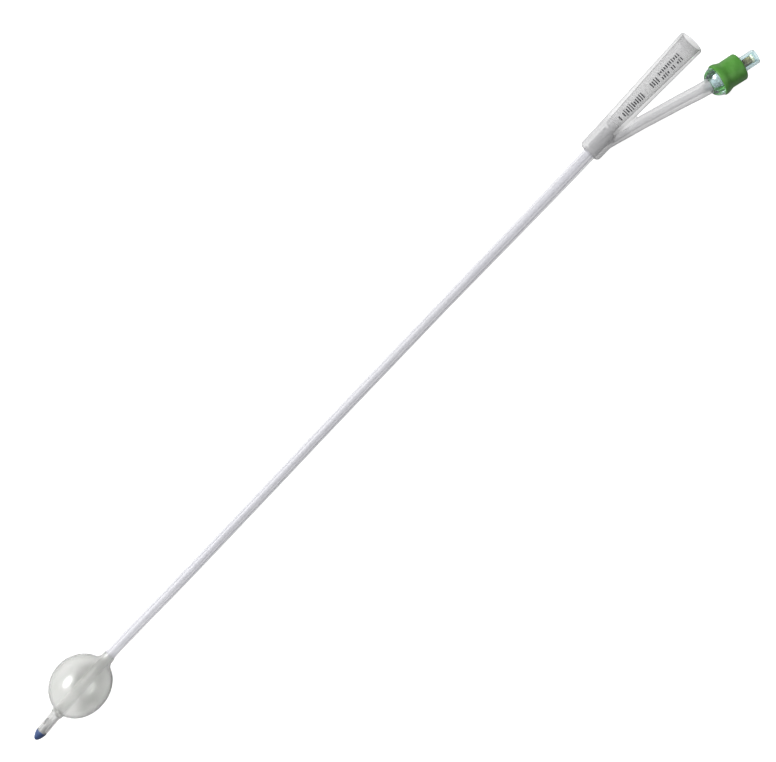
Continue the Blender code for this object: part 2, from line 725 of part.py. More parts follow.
def make_body(group, axis, finish):
    """The clear valve body: the luer nose, the seal's seat and chamber, and a skirt on the base."""
    nose = NOSE_OD / 2
    tip = SLEEVE_LENGTH + NOSE_LENGTH
    body = SLEEVE_BORE_D / 2 - FIT
    skirt = REGISTER_D / 2 + FIT
    chamber = chamber_radius()
    throat = luer_radius(housing_top())
    outline = [
        (LUER_MOUTH_D / 2 + EDGE / 2, tip),
        (nose - EDGE, tip),
        (nose, tip - EDGE),
        (nose, housing_top()),
        (body - EDGE, housing_top()),
        (body, housing_top() - EDGE),
        (body, BASE_TOP - SKIRT_DEPTH + FIT),
        (skirt, BASE_TOP - SKIRT_DEPTH + FIT),
        (skirt, BASE_TOP + FIT),
        (chamber, BASE_TOP + FIT),
        (chamber, seat_height(chamber)),
        (throat, seat_height(throat)),
        (LUER_MOUTH_D / 2, tip - EDGE / 2),
    ]
    made = turned("valve_body", outline, TURNED_SIDES, group, axis)
    made.data.materials.append(finish)
    return made


def seat_gap():
    """The fit between the seal's cone and its seat, measured along the axis."""
    return FIT * math.hypot(1, SEAT_RISE)


def flange_foot():
    """The seal flange's face towards the spring."""
    return seat_height(chamber_radius() - FIT) - seat_gap() - SEAL_FLANGE_LENGTH


def collar_foot():
    """The face of the plunger's collar that the spring presses on."""
    return flange_foot() - FIT - PLUNGER_COLLAR_LENGTH


def head_foot():
    """The underside of the plunger's head, over the seal."""
    return SLEEVE_LENGTH + NOSE_LENGTH - PLUNGER_HEAD_DEPTH - PLUNGER_HEAD_LENGTH


def make_plunger(group, slide, finish):
    """The moulded plunger: head, stem, collar and tail."""
    stem = PLUNGER_STEM_D / 2
    head = luer_radius(head_foot()) - FIT
    head_top = head_foot() + PLUNGER_HEAD_LENGTH
    collar = PLUNGER_COLLAR_D / 2
    collar_top = flange_foot() - FIT
    tail = collar_foot() - PLUNGER_TAIL_LENGTH
    outline = [
        (0, head_top),
        (head - EDGE, head_top),
        (head, head_top - EDGE),
        (head, head_foot()),
        (stem, head_foot()),
        (stem, collar_top),
        (collar, collar_top),
        (collar, collar_foot()),
        (stem, collar_foot()),
        (stem, tail + EDGE),
        (stem - EDGE, tail),
        (0, tail),
    ]
    plunger = turned("valve_plunger", outline, FINE_SIDES, group, slide, closed=False)
    plunger.data.materials.append(finish)
    return plunger


def make_seal(group, slide, finish):
    """The rubber seal round the plunger's stem, with a cone that closes on the seat."""
    bore = PLUNGER_STEM_D / 2 + FIT
    throat = luer_radius(housing_top()) - FIT
    flange = chamber_radius() - FIT
    top = head_foot() - FIT
    outline = [
        (bore, top),
        (throat - EDGE, top),
        (throat, top - EDGE),
        (throat, seat_height(throat) - seat_gap()),
        (flange, seat_height(flange) - seat_gap()),
        (flange, flange_foot()),
        (bore, flange_foot()),
    ]
    seal = turned("plunger_seal", outline, FINE_SIDES, group, slide)
    seal.data.materials.append(finish)
    return seal


def make_spring(group, axis, finish):
    """A coil of stainless wire between the base's cup and the plunger's collar."""
    radius = SPRING_MEAN_D / 2
    low = SPRING_CUP_FLOOR + FIT + SPRING_WIRE_D / 2
    high = collar_foot() - FIT - SPRING_WIRE_D / 2
    count = SPRING_TURNS * COIL_POINTS
    points = []
    for i in range(count + 1):
        angle = 2 * math.pi * i / COIL_POINTS
        points.append((radius * math.cos(angle), radius * math.sin(angle), low + (high - low) * i / count))
    spring = tube("valve_spring", points, [SPRING_WIRE_D / 2] * len(points), 1, group, axis)
    spring.data.materials.append(finish)
    return spring


def stand_on_origin(group, tops):
    """Moves everything so that the origin lies on the table under the catheter's middle."""
    bpy.context.view_layer.update()
    depsgraph = bpy.context.evaluated_depsgraph_get()
    low = Vector((math.inf,) * 3)
    high = -low
    for obj in group.objects:
        if obj.type != "MESH" or obj.hide_render:
            continue
        evaluated = obj.evaluated_get(depsgraph)
        for vertex in evaluated.data.vertices:
            point = evaluated.matrix_world @ vertex.co
            low = Vector(map(min, low, point))
            high = Vector(map(max, high, point))
    middle = (low + high) / 2
    origin = empty("catheter_origin", group)
    for obj in tops:
        obj.parent = origin
    origin.location = (-middle.x, -middle.y, -low.z)


def build():
    clear_scene()
    group = collection("balloon_catheter")
    cutters = collection("catheter_cutters")
    silicone = material("clear_silicone", (0.80, 0.81, 0.84), 0.30, 0.0, 0.6)
    membrane = material("balloon_silicone", (0.90, 0.91, 0.92), 0.12, 0.0, 0.9)
    blue = material("blue_silicone", (0.05, 0.09, 0.20), 0.35)
    clear = material("clear_plastic", (0.86, 0.92, 0.92), 0.10, 0.0, 0.9)
    green = material("green_plastic", (0.11, 0.33, 0.07), 0.38)
    cream = material("cream_plastic", (0.78, 0.74, 0.62), 0.45)
    olive = material("olive_rubber", (0.20, 0.17, 0.07), 0.60)
    steel = material("spring_steel", (0.62, 0.63, 0.65), 0.25, 1.0)

    route = shaft_route()
    make_shaft(route, group, cutters, silicone)
    make_tip(route, group, blue)
    make_balloon(route, group, membrane)
    make_funnel(group, cutters, silicone)

    valve = empty("valve_axis", group, None, valve_matrix())
    slide = empty("plunger_slide", group, valve)
    make_sleeve(group, valve, green)
    make_base(group, valve, clear)
    make_body(group, valve, clear)
    make_plunger(group, slide, cream)
    make_seal(group, slide, olive)
    make_spring(group, valve, steel)

    tops = [obj for obj in bpy.data.objects if obj.parent is None]
    stand_on_origin(group, tops)


build()
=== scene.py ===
"""Looks for a silicone balloon catheter that lies on a pale table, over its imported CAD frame."""

import math

import bpy
import numpy as np
from mathutils import Matrix, Vector


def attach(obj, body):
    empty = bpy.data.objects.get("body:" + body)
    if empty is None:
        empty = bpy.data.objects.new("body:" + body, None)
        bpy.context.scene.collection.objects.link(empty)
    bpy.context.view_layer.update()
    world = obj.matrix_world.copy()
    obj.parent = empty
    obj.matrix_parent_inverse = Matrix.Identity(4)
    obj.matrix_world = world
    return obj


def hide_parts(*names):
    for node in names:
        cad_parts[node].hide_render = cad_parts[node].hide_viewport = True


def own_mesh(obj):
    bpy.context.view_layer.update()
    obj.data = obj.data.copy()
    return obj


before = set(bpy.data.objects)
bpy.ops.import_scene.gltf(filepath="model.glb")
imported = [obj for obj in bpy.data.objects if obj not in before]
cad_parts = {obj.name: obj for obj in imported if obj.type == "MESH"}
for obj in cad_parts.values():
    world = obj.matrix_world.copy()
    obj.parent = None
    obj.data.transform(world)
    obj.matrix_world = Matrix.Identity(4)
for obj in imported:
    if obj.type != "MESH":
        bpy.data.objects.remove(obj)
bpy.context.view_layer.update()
scene = bpy.context.scene


# Camera: it looks down on the catheter, which runs from the lower left to the upper right.
PICTURE_WIDTH = 776              # pixels
FOCAL_LENGTH = 1505              # pixels
PICTURE_TURN = math.radians(46.7)        # the X axis above the picture's horizontal
CAMERA_DISTANCE = 0.624
CAMERA_TILT = math.radians(4)    # the funnel's end is a little nearer
CAMERA_AIM = Vector((0.0046, 0.00184, 0.0))

camera_data = bpy.data.cameras.new("camera")
camera_data.lens = camera_data.sensor_width * FOCAL_LENGTH / PICTURE_WIDTH
camera = bpy.data.objects.new("camera", camera_data)
scene.collection.objects.link(camera)
camera.matrix_world = (
    Matrix.Translation(CAMERA_AIM)
    @ Matrix.Rotation(CAMERA_TILT, 4, "Y")
    @ Matrix.Translation((0, 0, CAMERA_DISTANCE))
    @ Matrix.Rotation(-PICTURE_TURN, 4, "Z")
)
scene.camera = camera


# Shaft: an extruded tube of translucent silicone, 14 Charriere, with a drainage lumen and a small
# inflation lumen beside it. It widens towards the funnel. Two oval eyes open the drainage lumen
# behind the tip, and a small port opens the other lumen inside the balloon.
SHAFT_OD = 0.0047
SHAFT_ROOT_OD = 0.0056           # where it goes into the boss
SHAFT_FLARE = 0.085              # length over which it widens to that
PAST_BOSS_FACE = 0.0143          # from the boss's face to the last point of the lay
PAST_SHAFT_END = 0.0025          # from the shaft's end to it
DRAIN_LUMEN_D = 0.0026
INFLATION_LUMEN_D = 0.0007
DRAIN_OFFSET = 0.00035
INFLATION_OFFSET = 0.0016
LUMEN_TURN = (math.radians(65), math.radians(90))        # at the tip and at the funnel
TIP_LENGTH = 0.0045
TIP_BULGE = 0.0006               # the tip's back is domed into the shaft's end
EYE_LENGTH = 0.0034
EYE_WIDTH = 0.0017
EYES = ((0.0045, -math.pi / 2), (0.0067, math.pi / 2))   # behind the tip, and which side
PORT_D = 0.0009
SHAFT_STEPS = 440                # cross sections along the tube and its lumens
SHAFT_SIDES = 56
BALLOON_AT = Vector((-0.174496, 0.007464, 0.012108))
BALLOON_PITCH = math.radians(10)         # the shaft falls from the balloon to the table
BALLOON_HEADING = math.radians(1.3)
TIP_BEND = ((0.0284, -0.00044, -0.0003), (0.0222, -0.00021, 0.0))        # out, aside, up
STRAIGHT = (-0.0158, 0.0, 0.0191)        # the shaft is straight here, measured from the balloon
SHAFT_LAY = [                    # its axis between the balloon and the boss, where it settles flat
    (-0.13740, 0.00776, 0.00631),
    (-0.11300, 0.00746, 0.00381),
    (-0.09040, 0.00736, 0.00281),
    (-0.06540, 0.00726, 0.00241),
    (-0.02540, 0.00716, 0.00241),
    (0.01460, 0.00686, 0.00241),
    (0.04960, 0.00656, 0.00241),
    (0.07460, 0.00621, 0.00281),
    (0.09960, 0.00589, 0.00351),
    (0.11460, 0.00574, 0.00386),
]
BALLOON_KNOT = 3                 # the balloon's middle is this point of the whole lay
FUNNEL_AT = Vector((0.128404, 0.006964, 0.004108))       # its root, where the shaft goes in
FUNNEL_HEADING = math.radians(-0.45)
FUNNEL_LENGTH = 0.0602
FUNNEL_ROOT_OD = 0.0081
FUNNEL_MOUTH_OD = 0.0112
FUNNEL_TAPER = (FUNNEL_MOUTH_OD - FUNNEL_ROOT_OD) / 2 / FUNNEL_LENGTH
SHAFT_ASIDE = 0.00125            # the shaft's axis, towards the arm from the funnel's
SOCKET_DEPTH = 0.0120
FIT = 0.0003                     # clearance between the frame's seated pieces
CUT = 0.002                      # how far a cutter reaches past the face it opens
TIP_COLLAR_END = 0.0152          # how far the balloon's two collars reach from its middle
SHAFT_COLLAR_END = 0.0172
BOSS_FACE_X = 0.1284
SHADE_BLEND = 0.0015             # length over which the tube's shade changes at a collar or the boss


def add_node(tree, kind, settings=(), inputs=()):
    """A node of any kind: its settings come first, then the values or links of its sockets."""
    node = tree.nodes.new(kind)
    for name, value in dict(settings).items():
        setattr(node, name, value)
    for entry, value in dict(inputs).items():
        source = value.socket if isinstance(value, Signal) else value
        if isinstance(source, bpy.types.NodeSocket):
            tree.links.new(source, node.inputs[entry])
        else:
            node.inputs[entry].default_value = source
    return node


class Signal:
    """A socket that takes part in arithmetic: each operation adds a Math node to its tree."""

    def __init__(self, socket):
        self.socket = socket

    def maths(self, operation, first, second=0.0):
        settings = {"operation": operation}
        node = add_node(self.socket.id_data, "ShaderNodeMath", settings, {0: first, 1: second})
        return Signal(node.outputs[0])

    def __add__(self, other):
        return self.maths("ADD", self, other)

    def __sub__(self, other):
        return self.maths("SUBTRACT", self, other)

    def __rsub__(self, other):
        return self.maths("SUBTRACT", other, self)

    def __mul__(self, other):
        return self.maths("MULTIPLY", self, other)

    def __truediv__(self, other):
        return self.maths("DIVIDE", self, other)

    def __pow__(self, other):
        return self.maths("POWER", self, other)

    __radd__ = __add__
    __rmul__ = __mul__

    def wave(self, operation):
        return self.maths(operation, self)

    def between(self, low, high):
        """0 below the low value, 1 above the high one and smooth between them."""
        settings = {"interpolation_type": "SMOOTHSTEP"}
        limits = {"Value": self, "From Min": low, "From Max": high}
        node = add_node(self.socket.id_data, "ShaderNodeMapRange", settings, limits)
        return Signal(node.outputs["Result"])


class Paint:
    """A material with one Principled shader, its patterns laid out in the object's own place."""

    def __init__(self, name):
        self.material = bpy.data.materials.new(name)
        self.material.use_nodes = True
        self.tree = self.material.node_tree
        self.place = add_node(self.tree, "ShaderNodeTexCoord").outputs["Object"]

    def noise(self, size, stretch=(1, 1, 1), detail=2.0):
        """Clouds from 0 to 1, about this size, drawn out along an axis by a small stretch."""
        squeezed = add_node(self.tree, "ShaderNodeMapping", inputs={"Vector": self.place, "Scale": stretch})
        inputs = {"Vector": squeezed.outputs[0], "Scale": 1 / size, "Detail": detail}
        return Signal(add_node(self.tree, "ShaderNodeTexNoise", inputs=inputs).outputs["Fac"])

    def coordinate(self, axis):
        return Signal(add_node(self.tree, "ShaderNodeSeparateXYZ", inputs={0: self.place}).outputs[axis])

    def blend(self, share, first, second):
        """A colour between two; either may itself be a blend."""
        first, second = [(*end, 1.0) if isinstance(end, tuple) else end for end in (first, second)]
        inputs = {0: share, 6: first, 7: second}
        return add_node(self.tree, "ShaderNodeMix", {"data_type": "RGBA"}, inputs).outputs[2]

    def rim(self, blend=0.5):
        """0 where the surface faces the eye, towards 1 where it turns away."""
        return Signal(add_node(self.tree, "ShaderNodeLayerWeight", inputs={"Blend": blend}).outputs["Facing"])

    def relief(self, height, depth):
        inputs = {"Height": height, "Distance": depth, "Strength": 1.0}
        return add_node(self.tree, "ShaderNodeBump", inputs=inputs).outputs[0]

    def finish(self, inputs):
        shader = self.tree.nodes["Principled BSDF"]
        for entry, value in inputs.items():
            source = value.socket if isinstance(value, Signal) else value
            if isinstance(source, bpy.types.NodeSocket):
                self.tree.links.new(source, shader.inputs[entry])
            else:
                shader.inputs[entry].default_value = source
        return self.material


class Path:
    """A smooth line through chosen points, read by the distance along it."""

    def __init__(self, knots, step=0.0004):
        knots = np.array(knots)
        runs = np.diff(knots, axis=0)
        spans = np.linalg.norm(runs, axis=1, keepdims=True)
        chords = runs / spans
        middle = (chords[:-1] * spans[1:] + chords[1:] * spans[:-1]) / (spans[1:] + spans[:-1])
        slopes = np.vstack([chords[:1], middle, chords[-1:]])
        line = []
        for start, run, span, leave, arrive in zip(knots, runs, spans[:, 0], slopes, slopes[1:]):
            t = np.linspace(0, 1, math.ceil(span / step), endpoint=False)[:, None]
            ahead = 3 * t**2 - 2 * t**3
            swing = leave * (t**3 - 2 * t**2 + t) + arrive * (t**3 - t**2)
            line.append(start + run * ahead + span * swing)
        self.points = np.vstack([*line, knots[-1:]])
        steps = np.linalg.norm(np.diff(self.points, axis=0), axis=1)
        self.reach = np.concatenate([[0], np.cumsum(steps)])
        self.length = self.reach[-1]

    def on_line(self, distance):
        return np.stack([np.interp(distance, self.reach, self.points[:, k]) for k in range(3)], axis=-1)

    def along(self, distance):
        near = 0.0005
        inside = np.clip(distance, near, self.length - near)
        run = self.on_line(inside + near) - self.on_line(inside - near)
        return run / np.linalg.norm(run, axis=-1, keepdims=True)

    def at(self, distance):
        inside = np.clip(distance, 0, self.length)
        return self.on_line(inside) + self.along(inside) * (distance - inside)[..., None]

    def side(self, distance, angle):
        """Square to the line, turned from the top towards -Y."""
        along = self.along(distance)
        top = np.array([0, 0, 1.0]) - along * along[..., 2:]
        top /= np.linalg.norm(top, axis=-1, keepdims=True)
        angle = np.broadcast_to(angle, np.shape(distance))[..., None]
        return top * np.cos(angle) + np.cross(along, top) * np.sin(angle)


def mesh_object(name, points, edges=(), faces=()):
    mesh = bpy.data.meshes.new(name)
    mesh.from_pydata([tuple(p) for p in points], list(edges), [tuple(f) for f in faces])
    made = bpy.data.objects.new(name, mesh)
    scene.collection.objects.link(made)
    return made


def plain(obj, sharp=40):
    """Makes the modifiers' result the object's own mesh, smooth but for its sharp edges."""
    evaluated = obj.evaluated_get(bpy.context.evaluated_depsgraph_get())
    mesh = bpy.data.meshes.new_from_object(evaluated)
    obj.modifiers.clear()
    obj.data = mesh
    mesh.shade_smooth()
    mesh.set_sharp_from_angle(angle=math.radians(sharp))
    return obj


def geometry_tree(name, kinds):
    """An empty geometry tree with named inputs, and its input and output nodes."""
    tree = bpy.data.node_groups.new(name, "GeometryNodeTree")
    tree.interface.new_socket("Geometry", in_out="INPUT", socket_type="NodeSocketGeometry")
    for entry, kind in kinds.items():
        tree.interface.new_socket(entry, in_out="INPUT", socket_type="NodeSocket" + kind)
    tree.interface.new_socket("Geometry", in_out="OUTPUT", socket_type="NodeSocketGeometry")
    return tree, add_node(tree, "NodeGroupInput").outputs


def run_tree(obj, tree, values):
    """Runs the tree on the object and keeps what it makes as a plain mesh."""
    modifier = obj.modifiers.new(tree.name, "NODES")
    modifier.node_group = tree
    for item in tree.interface.items_tree:
        if item.in_out == "INPUT" and item.name in values:
            modifier[item.identifier] = values[item.name]
    return plain(obj)


def end_tree(tree, made, material):
    whole = add_node(tree, "GeometryNodeRealizeInstances", inputs={"Geometry": made})
    inputs = {"Geometry": whole.outputs[0], "Material": material}
    painted = add_node(tree, "GeometryNodeSetMaterial", inputs=inputs)
    add_node(tree, "NodeGroupOutput", inputs={0: painted.outputs[0]})
    return tree


def sweep_tree():
    """A round tube along a line of points, as thick at each point as its girth says."""
    tree, given = geometry_tree("sweep", {"Sides": "Int", "Material": "Material"})
    line = add_node(tree, "GeometryNodeMeshToCurve", inputs={"Mesh": given["Geometry"]})
    girth = add_node(tree, "GeometryNodeInputNamedAttribute", {"data_type": "FLOAT"}, {"Name": "girth"})
    ring = add_node(tree, "GeometryNodeCurvePrimitiveCircle", inputs={
        "Resolution": given["Sides"],
        "Radius": 1.0,
    })
    tube = add_node(tree, "GeometryNodeCurveToMesh", inputs={
        "Curve": line.outputs[0],
        "Profile Curve": ring.outputs[0],
        "Scale": girth.outputs[0],
        "Fill Caps": True,
    })
    return end_tree(tree, tube.outputs[0], given["Material"])


def swept(name, points, radii, sides, material):
    path = mesh_object(name, points, [(i, i + 1) for i in range(len(points) - 1)])
    girth = path.data.attributes.new("girth", "FLOAT", "POINT")
    girth.data.foreach_set("value", np.broadcast_to(radii, len(points)).astype(np.float32))
    return run_tree(path, sweep, {"Sides": sides, "Material": material})


def combine(obj, tools, operation="DIFFERENCE"):
    for tool in tools:
        made = obj.modifiers.new(tool.name, "BOOLEAN")
        made.operation = operation
        made.solver = "EXACT"
        made.object = tool
    plain(obj)
    for tool in tools:
        bpy.data.objects.remove(tool, do_unlink=True)
    return obj


def oval_cutter(name, middle, outward, along, width, length, depth):
    across = np.cross(outward, along)
    turn = np.arange(32) * 2 * math.pi / 32
    ring = np.outer(np.cos(turn) * length / 2, along) + np.outer(np.sin(turn) * width / 2, across)
    points = np.vstack([middle + ring, middle + ring + outward * depth])
    faces = [tuple(range(31, -1, -1)), tuple(range(32, 64))]
    faces += [(i, (i + 1) % 32, 32 + (i + 1) % 32, 32 + i) for i in range(32)]
    return mesh_object(name, points, faces=faces)


def arc(centre, radii, start, end, count):
    """Points on an ellipse's arc, as radius and height; the angles are in degrees."""
    turn = np.radians(np.linspace(start, end, count + 1))
    return [(centre[0] + radii[0] * math.cos(a), centre[1] + radii[1] * math.sin(a)) for a in turn]


def turned(name, outline, matrix, sides=96, edge=0.0, closed=True):
    """An outline of (radius, height) points turned about the matrix's Z axis."""
    solid = outline[0][0] == 0 and outline[-1][0] == 0
    turn = np.arange(sides) * 2 * math.pi / sides
    points, rings = [], []
    for radius, height in outline:
        if radius == 0:
            rings.append([len(points)] * sides)
            points.append((0, 0, height))
        else:
            rings.append(list(range(len(points), len(points) + sides)))
            points.extend((radius * math.cos(a), radius * math.sin(a), height) for a in turn)
    pairs = list(zip(rings, rings[1:]))
    if closed and not solid:
        pairs.append((rings[-1], rings[0]))
    faces = []
    for upper, lower in pairs:
        for j in range(sides):
            k = (j + 1) % sides
            faces.append(tuple(dict.fromkeys((upper[j], lower[j], lower[k], upper[k]))))
    made = mesh_object(name, points, faces=faces)
    if edge:
        bevel = made.modifiers.new("edge", "BEVEL")
        bevel.width = edge
        bevel.segments = 3
        bevel.limit_method = "ANGLE"
        bevel.angle_limit = math.radians(35)
    plain(made)
    made.data.transform(matrix)
    return made


def wear(obj, material):
    obj.data.materials.clear()
    obj.data.materials.append(material)
    for face in obj.data.polygons:
        face.material_index = 0


def funnel_matrix():
    pitch = math.atan(FUNNEL_TAPER)
    heading = Vector((math.cos(FUNNEL_HEADING), math.sin(FUNNEL_HEADING), 0))
    axis = heading * math.cos(pitch) + Vector((0, 0, math.sin(pitch)))
    aside = heading.cross(Vector((0, 0, 1)))
    turn = Matrix((aside, axis.cross(aside), axis)).transposed().to_4x4()
    return Matrix.Translation(FUNNEL_AT) @ turn


def rounded(points):
    """Points to a hundredth of a millimetre."""
    return np.round(np.array(points), 5).tolist()


def make_shaft_lay():
    """What the shaft's axis runs through, from the tip's end to the inside of the funnel's root."""
    level = Vector((math.cos(BALLOON_HEADING), math.sin(BALLOON_HEADING), 0))
    along = level * math.cos(BALLOON_PITCH) - Vector((0, 0, math.sin(BALLOON_PITCH)))
    lay = [BALLOON_AT - along * out + Vector((0, aside, up)) for out, aside, up in TIP_BEND]
    lay += [BALLOON_AT + along * reach for reach in STRAIGHT]
    lay += [Vector(point) for point in SHAFT_LAY]
    lay += [funnel_matrix() @ Vector((SHAFT_ASIDE, 0, depth)) for depth in (-FIT, SOCKET_DEPTH + CUT)]
    return rounded(lay)


def lumen_angle(distance):
    return LUMEN_TURN[0] + (LUMEN_TURN[1] - LUMEN_TURN[0]) * distance / shaft_path.length


def tip_joint():
    s = np.array(TIP_LENGTH)
    back, inward = shaft_path.along(s), shaft_path.side(s, lumen_angle(s))
    basis = np.column_stack([inward, np.cross(back, inward), back])
    return Matrix.Translation(shaft_path.at(s)) @ Matrix(basis.tolist()).to_4x4()


def tip_back(gap):
    """The domed joint between tip and shaft."""
    rise = TIP_BULGE / 2
    dome = arc((0, -rise), (SHAFT_OD / 2, TIP_BULGE), 90, 0, 12)
    return [(radius, height + gap) for radius, height in dome]


def make_shaft():
    boss_face = shaft_path.length - PAST_BOSS_FACE
    start, end = TIP_LENGTH - 0.001, shaft_path.length - PAST_SHAFT_END
    run = np.linspace(start, end, SHAFT_STEPS)
    share = np.clip((run - boss_face + SHAFT_FLARE) / SHAFT_FLARE, 0, 1)
    radii = (SHAFT_OD + (SHAFT_ROOT_OD - SHAFT_OD) * share) / 2
    shaft = swept("shaft", shaft_path.at(run), radii, SHAFT_SIDES, tube_silicone)
    seat = tip_back(0.00002)
    seat[0] = (0, seat[0][1])
    wide = SHAFT_OD / 2 + 0.0005
    seat += [(wide, seat[-1][1]), (wide, -0.003), (0, -0.003)]
    run = np.linspace(start - 0.001, end + 0.001, SHAFT_STEPS)
    turn = lumen_angle(run)
    drain = shaft_path.at(run) - shaft_path.side(run, turn) * DRAIN_OFFSET
    inflation = shaft_path.at(run) + shaft_path.side(run, turn) * INFLATION_OFFSET
    tools = [
        turned("tip_seat", seat, tip_joint(), SHAFT_SIDES),
        swept("drainage_lumen", drain, DRAIN_LUMEN_D / 2, 32, tube_silicone),
        swept("inflation_lumen", inflation, INFLATION_LUMEN_D / 2, 14, tube_silicone),
    ]
    for behind, side in EYES:
        s = np.array(TIP_LENGTH + behind)
        middle = shaft_path.at(s) - shaft_path.side(s, lumen_angle(s)) * DRAIN_OFFSET
        outward = shaft_path.side(s, lumen_angle(s) + side)
        along = shaft_path.along(s)
        tools.append(oval_cutter("eye", middle, outward, along, EYE_WIDTH, EYE_LENGTH, SHAFT_OD))
    s = np.array(balloon_reach)
    outward = shaft_path.side(s, lumen_angle(s))
    middle = shaft_path.at(s) + outward * INFLATION_OFFSET
    tools.append(oval_cutter("port", middle, outward, shaft_path.along(s), PORT_D, PORT_D, SHAFT_OD / 2))
    return combine(shaft, tools)


shaft_lay = make_shaft_lay()
paint = Paint("tube_silicone")
cloud = paint.noise(0.011, stretch=(0.12, 1, 1))
die_lines = paint.noise(0.004, stretch=(0.04, 1, 1), detail=1.0)
from_balloon = paint.coordinate("X") - shaft_lay[BALLOON_KNOT][0]
past_tip_collar = from_balloon.between(-TIP_COLLAR_END, SHADE_BLEND - TIP_COLLAR_END)
painted_light_in_balloon = past_tip_collar * (1 - from_balloon.between(SHAFT_COLLAR_END - SHADE_BLEND, SHAFT_COLLAR_END))
in_boss = paint.coordinate("X").between(BOSS_FACE_X, BOSS_FACE_X + SHADE_BLEND)
tube = paint.blend(cloud.between(0.3, 0.7), (0.51, 0.51, 0.56), (0.57, 0.57, 0.61))
# Inside the balloon the tube is painted lighter, near white, and made less see-through: painted light,
# standing in for the light that the balloon's shell keeps off the shaft.
tube = paint.blend(painted_light_in_balloon, tube, (0.94, 0.94, 0.93))
tube_silicone = paint.finish({
    "Base Color": paint.blend(past_tip_collar, (0.48, 0.48, 0.47), tube),
    "Roughness": 0.22 + 0.10 * cloud,
    "Normal": paint.relief(die_lines, 0.00001),
    "Alpha": 0.5 - 0.10 * past_tip_collar - 0.12 * painted_light_in_balloon - 0.28 * in_boss,
    "IOR": 1.41,
})

sweep = sweep_tree()
shaft_path = Path(shaft_lay)
balloon_at = np.array(shaft_lay[BALLOON_KNOT])
balloon_reach = shaft_path.reach[np.argmin(np.linalg.norm(shaft_path.points - balloon_at, axis=1))]
shaft = make_shaft()
wear(shaft, tube_silicone)
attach(shaft, "catheter")
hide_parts("catheter_shaft")


# Tip: a rounded nose of blue silicone, moulded on to the shaft's end, with a plug of it in the
# drainage lumen.
TIP_TAPER = 1.3                  # of the nose: 2 makes it an ellipse, 1 a parabola
TIP_PLUG_LENGTH = 0.0022


def make_tip():
    back = tip_back(0)
    back[0] = (0, back[0][1])
    radius, foot = back[-1]
    nose = []
    for step in np.linspace(0, 1, 25)[1:].tolist():
        share = 1 - (1 - step) ** 2
        nose.append((radius * math.sqrt(1 - share ** TIP_TAPER), foot - (TIP_LENGTH + foot) * share))
    tip = turned("tip", [*back, *nose], tip_joint())
    width = DRAIN_LUMEN_D / 2 - 0.00002
    plug = arc((width - 0.0005, TIP_PLUG_LENGTH - 0.0005), (0.0005, 0.0005), 90, 0, 6)
    plug = [(0, TIP_PLUG_LENGTH), *plug, (width, -0.001), (0, -0.001)]
    aside = Matrix.Translation((-DRAIN_OFFSET, 0, 0))
    return combine(tip, [turned("plug", plug, tip_joint() @ aside, 48)], "UNION")


paint = Paint("blue_silicone")
cloud = paint.noise(0.0022)
blue_silicone = paint.finish({
    "Base Color": paint.blend(cloud.between(0.3, 0.7), (0.035, 0.06, 0.15), (0.07, 0.11, 0.24)),
    "Roughness": 0.22 + 0.16 * cloud,
    "Normal": paint.relief(paint.noise(0.0006), 0.00001),
    "Transmission Weight": 0.15,
    "IOR": 1.41,
})

tip = make_tip()
wear(tip, blue_silicone)
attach(tip, "catheter")
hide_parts("rounded_tip")


# Balloon: a blown silicone sleeve, drawn filled, bonded to the shaft by a collar at each end. It
# bulges a little more on one side of the shaft, and lies pressed on the table.
BALLOON_HALF = 0.0140
BALLOON_RADIUS = 0.0124
BALLOON_WALL = 0.00035
BALLOON_ASIDE = 0.00077
SHAFT_COLLAR_LENGTH = 0.0010
SHAFT_SHOULDER = 0.0131
SHOULDER_FALL = 3                # how fast the shoulder falls to the collar
TABLE_GAP = 0.00002


def make_balloon():
    s = np.array(balloon_reach)
    along, aside = shaft_path.along(s), np.array([0, -1.0, 0])
    aside -= along * (aside @ along)
    aside /= np.linalg.norm(aside)
    basis = np.column_stack([aside, np.cross(along, aside), along])
    centre = Matrix.Translation(balloon_at) @ Matrix(basis.tolist()).to_4x4()
    collar = SHAFT_OD / 2 + BALLOON_WALL + TABLE_GAP
    shoulder_radius = BALLOON_RADIUS * math.sqrt(1 - (SHAFT_SHOULDER / BALLOON_HALF) ** 2)
    shoulder_angle = math.degrees(math.asin(SHAFT_SHOULDER / BALLOON_HALF))
    collar_angle = math.degrees(math.acos((collar + 0.0003) / BALLOON_RADIUS))
    shoulder = []
    for t in np.linspace(1, 0, 14, endpoint=False):
        fall = collar + (shoulder_radius - collar) * (1 - t) ** SHOULDER_FALL
        reach = SHAFT_COLLAR_END - SHAFT_COLLAR_LENGTH - SHAFT_SHOULDER
        shoulder.append((fall, SHAFT_SHOULDER + reach * t))
    outline = [
        (collar, SHAFT_COLLAR_END),
        *shoulder,
        *arc((0, 0), (BALLOON_RADIUS, BALLOON_HALF), shoulder_angle, -collar_angle, 72),
        (collar, -BALLOON_HALF - 0.0001),
        (collar, -TIP_COLLAR_END),
    ]
    balloon = turned("balloon", outline, centre, 128, closed=False)
    for vertex in balloon.data.vertices:
        out = np.array(vertex.co) - balloon_at
        radius = np.linalg.norm(out - along * (out @ along))
        vertex.co.y += BALLOON_ASIDE * max(0.0, (radius - collar) / (BALLOON_RADIUS - collar))
        vertex.co.z = max(vertex.co.z, TABLE_GAP)
    wall = balloon.modifiers.new("wall", "SOLIDIFY")
    wall.thickness = BALLOON_WALL
    wall.offset = -1.0
    return plain(balloon)


paint = Paint("balloon_silicone")
cloud = paint.noise(0.006)
balloon_silicone = paint.finish({
    "Base Color": paint.blend(cloud.between(0.35, 0.65), (0.90, 0.91, 0.89), (0.96, 0.96, 0.95)),
    "Roughness": 0.14 + 0.10 * cloud,
    "Normal": paint.relief(paint.noise(0.003), 0.00003),
    "Transmission Weight": 0.93,
    "IOR": 1.41,
})

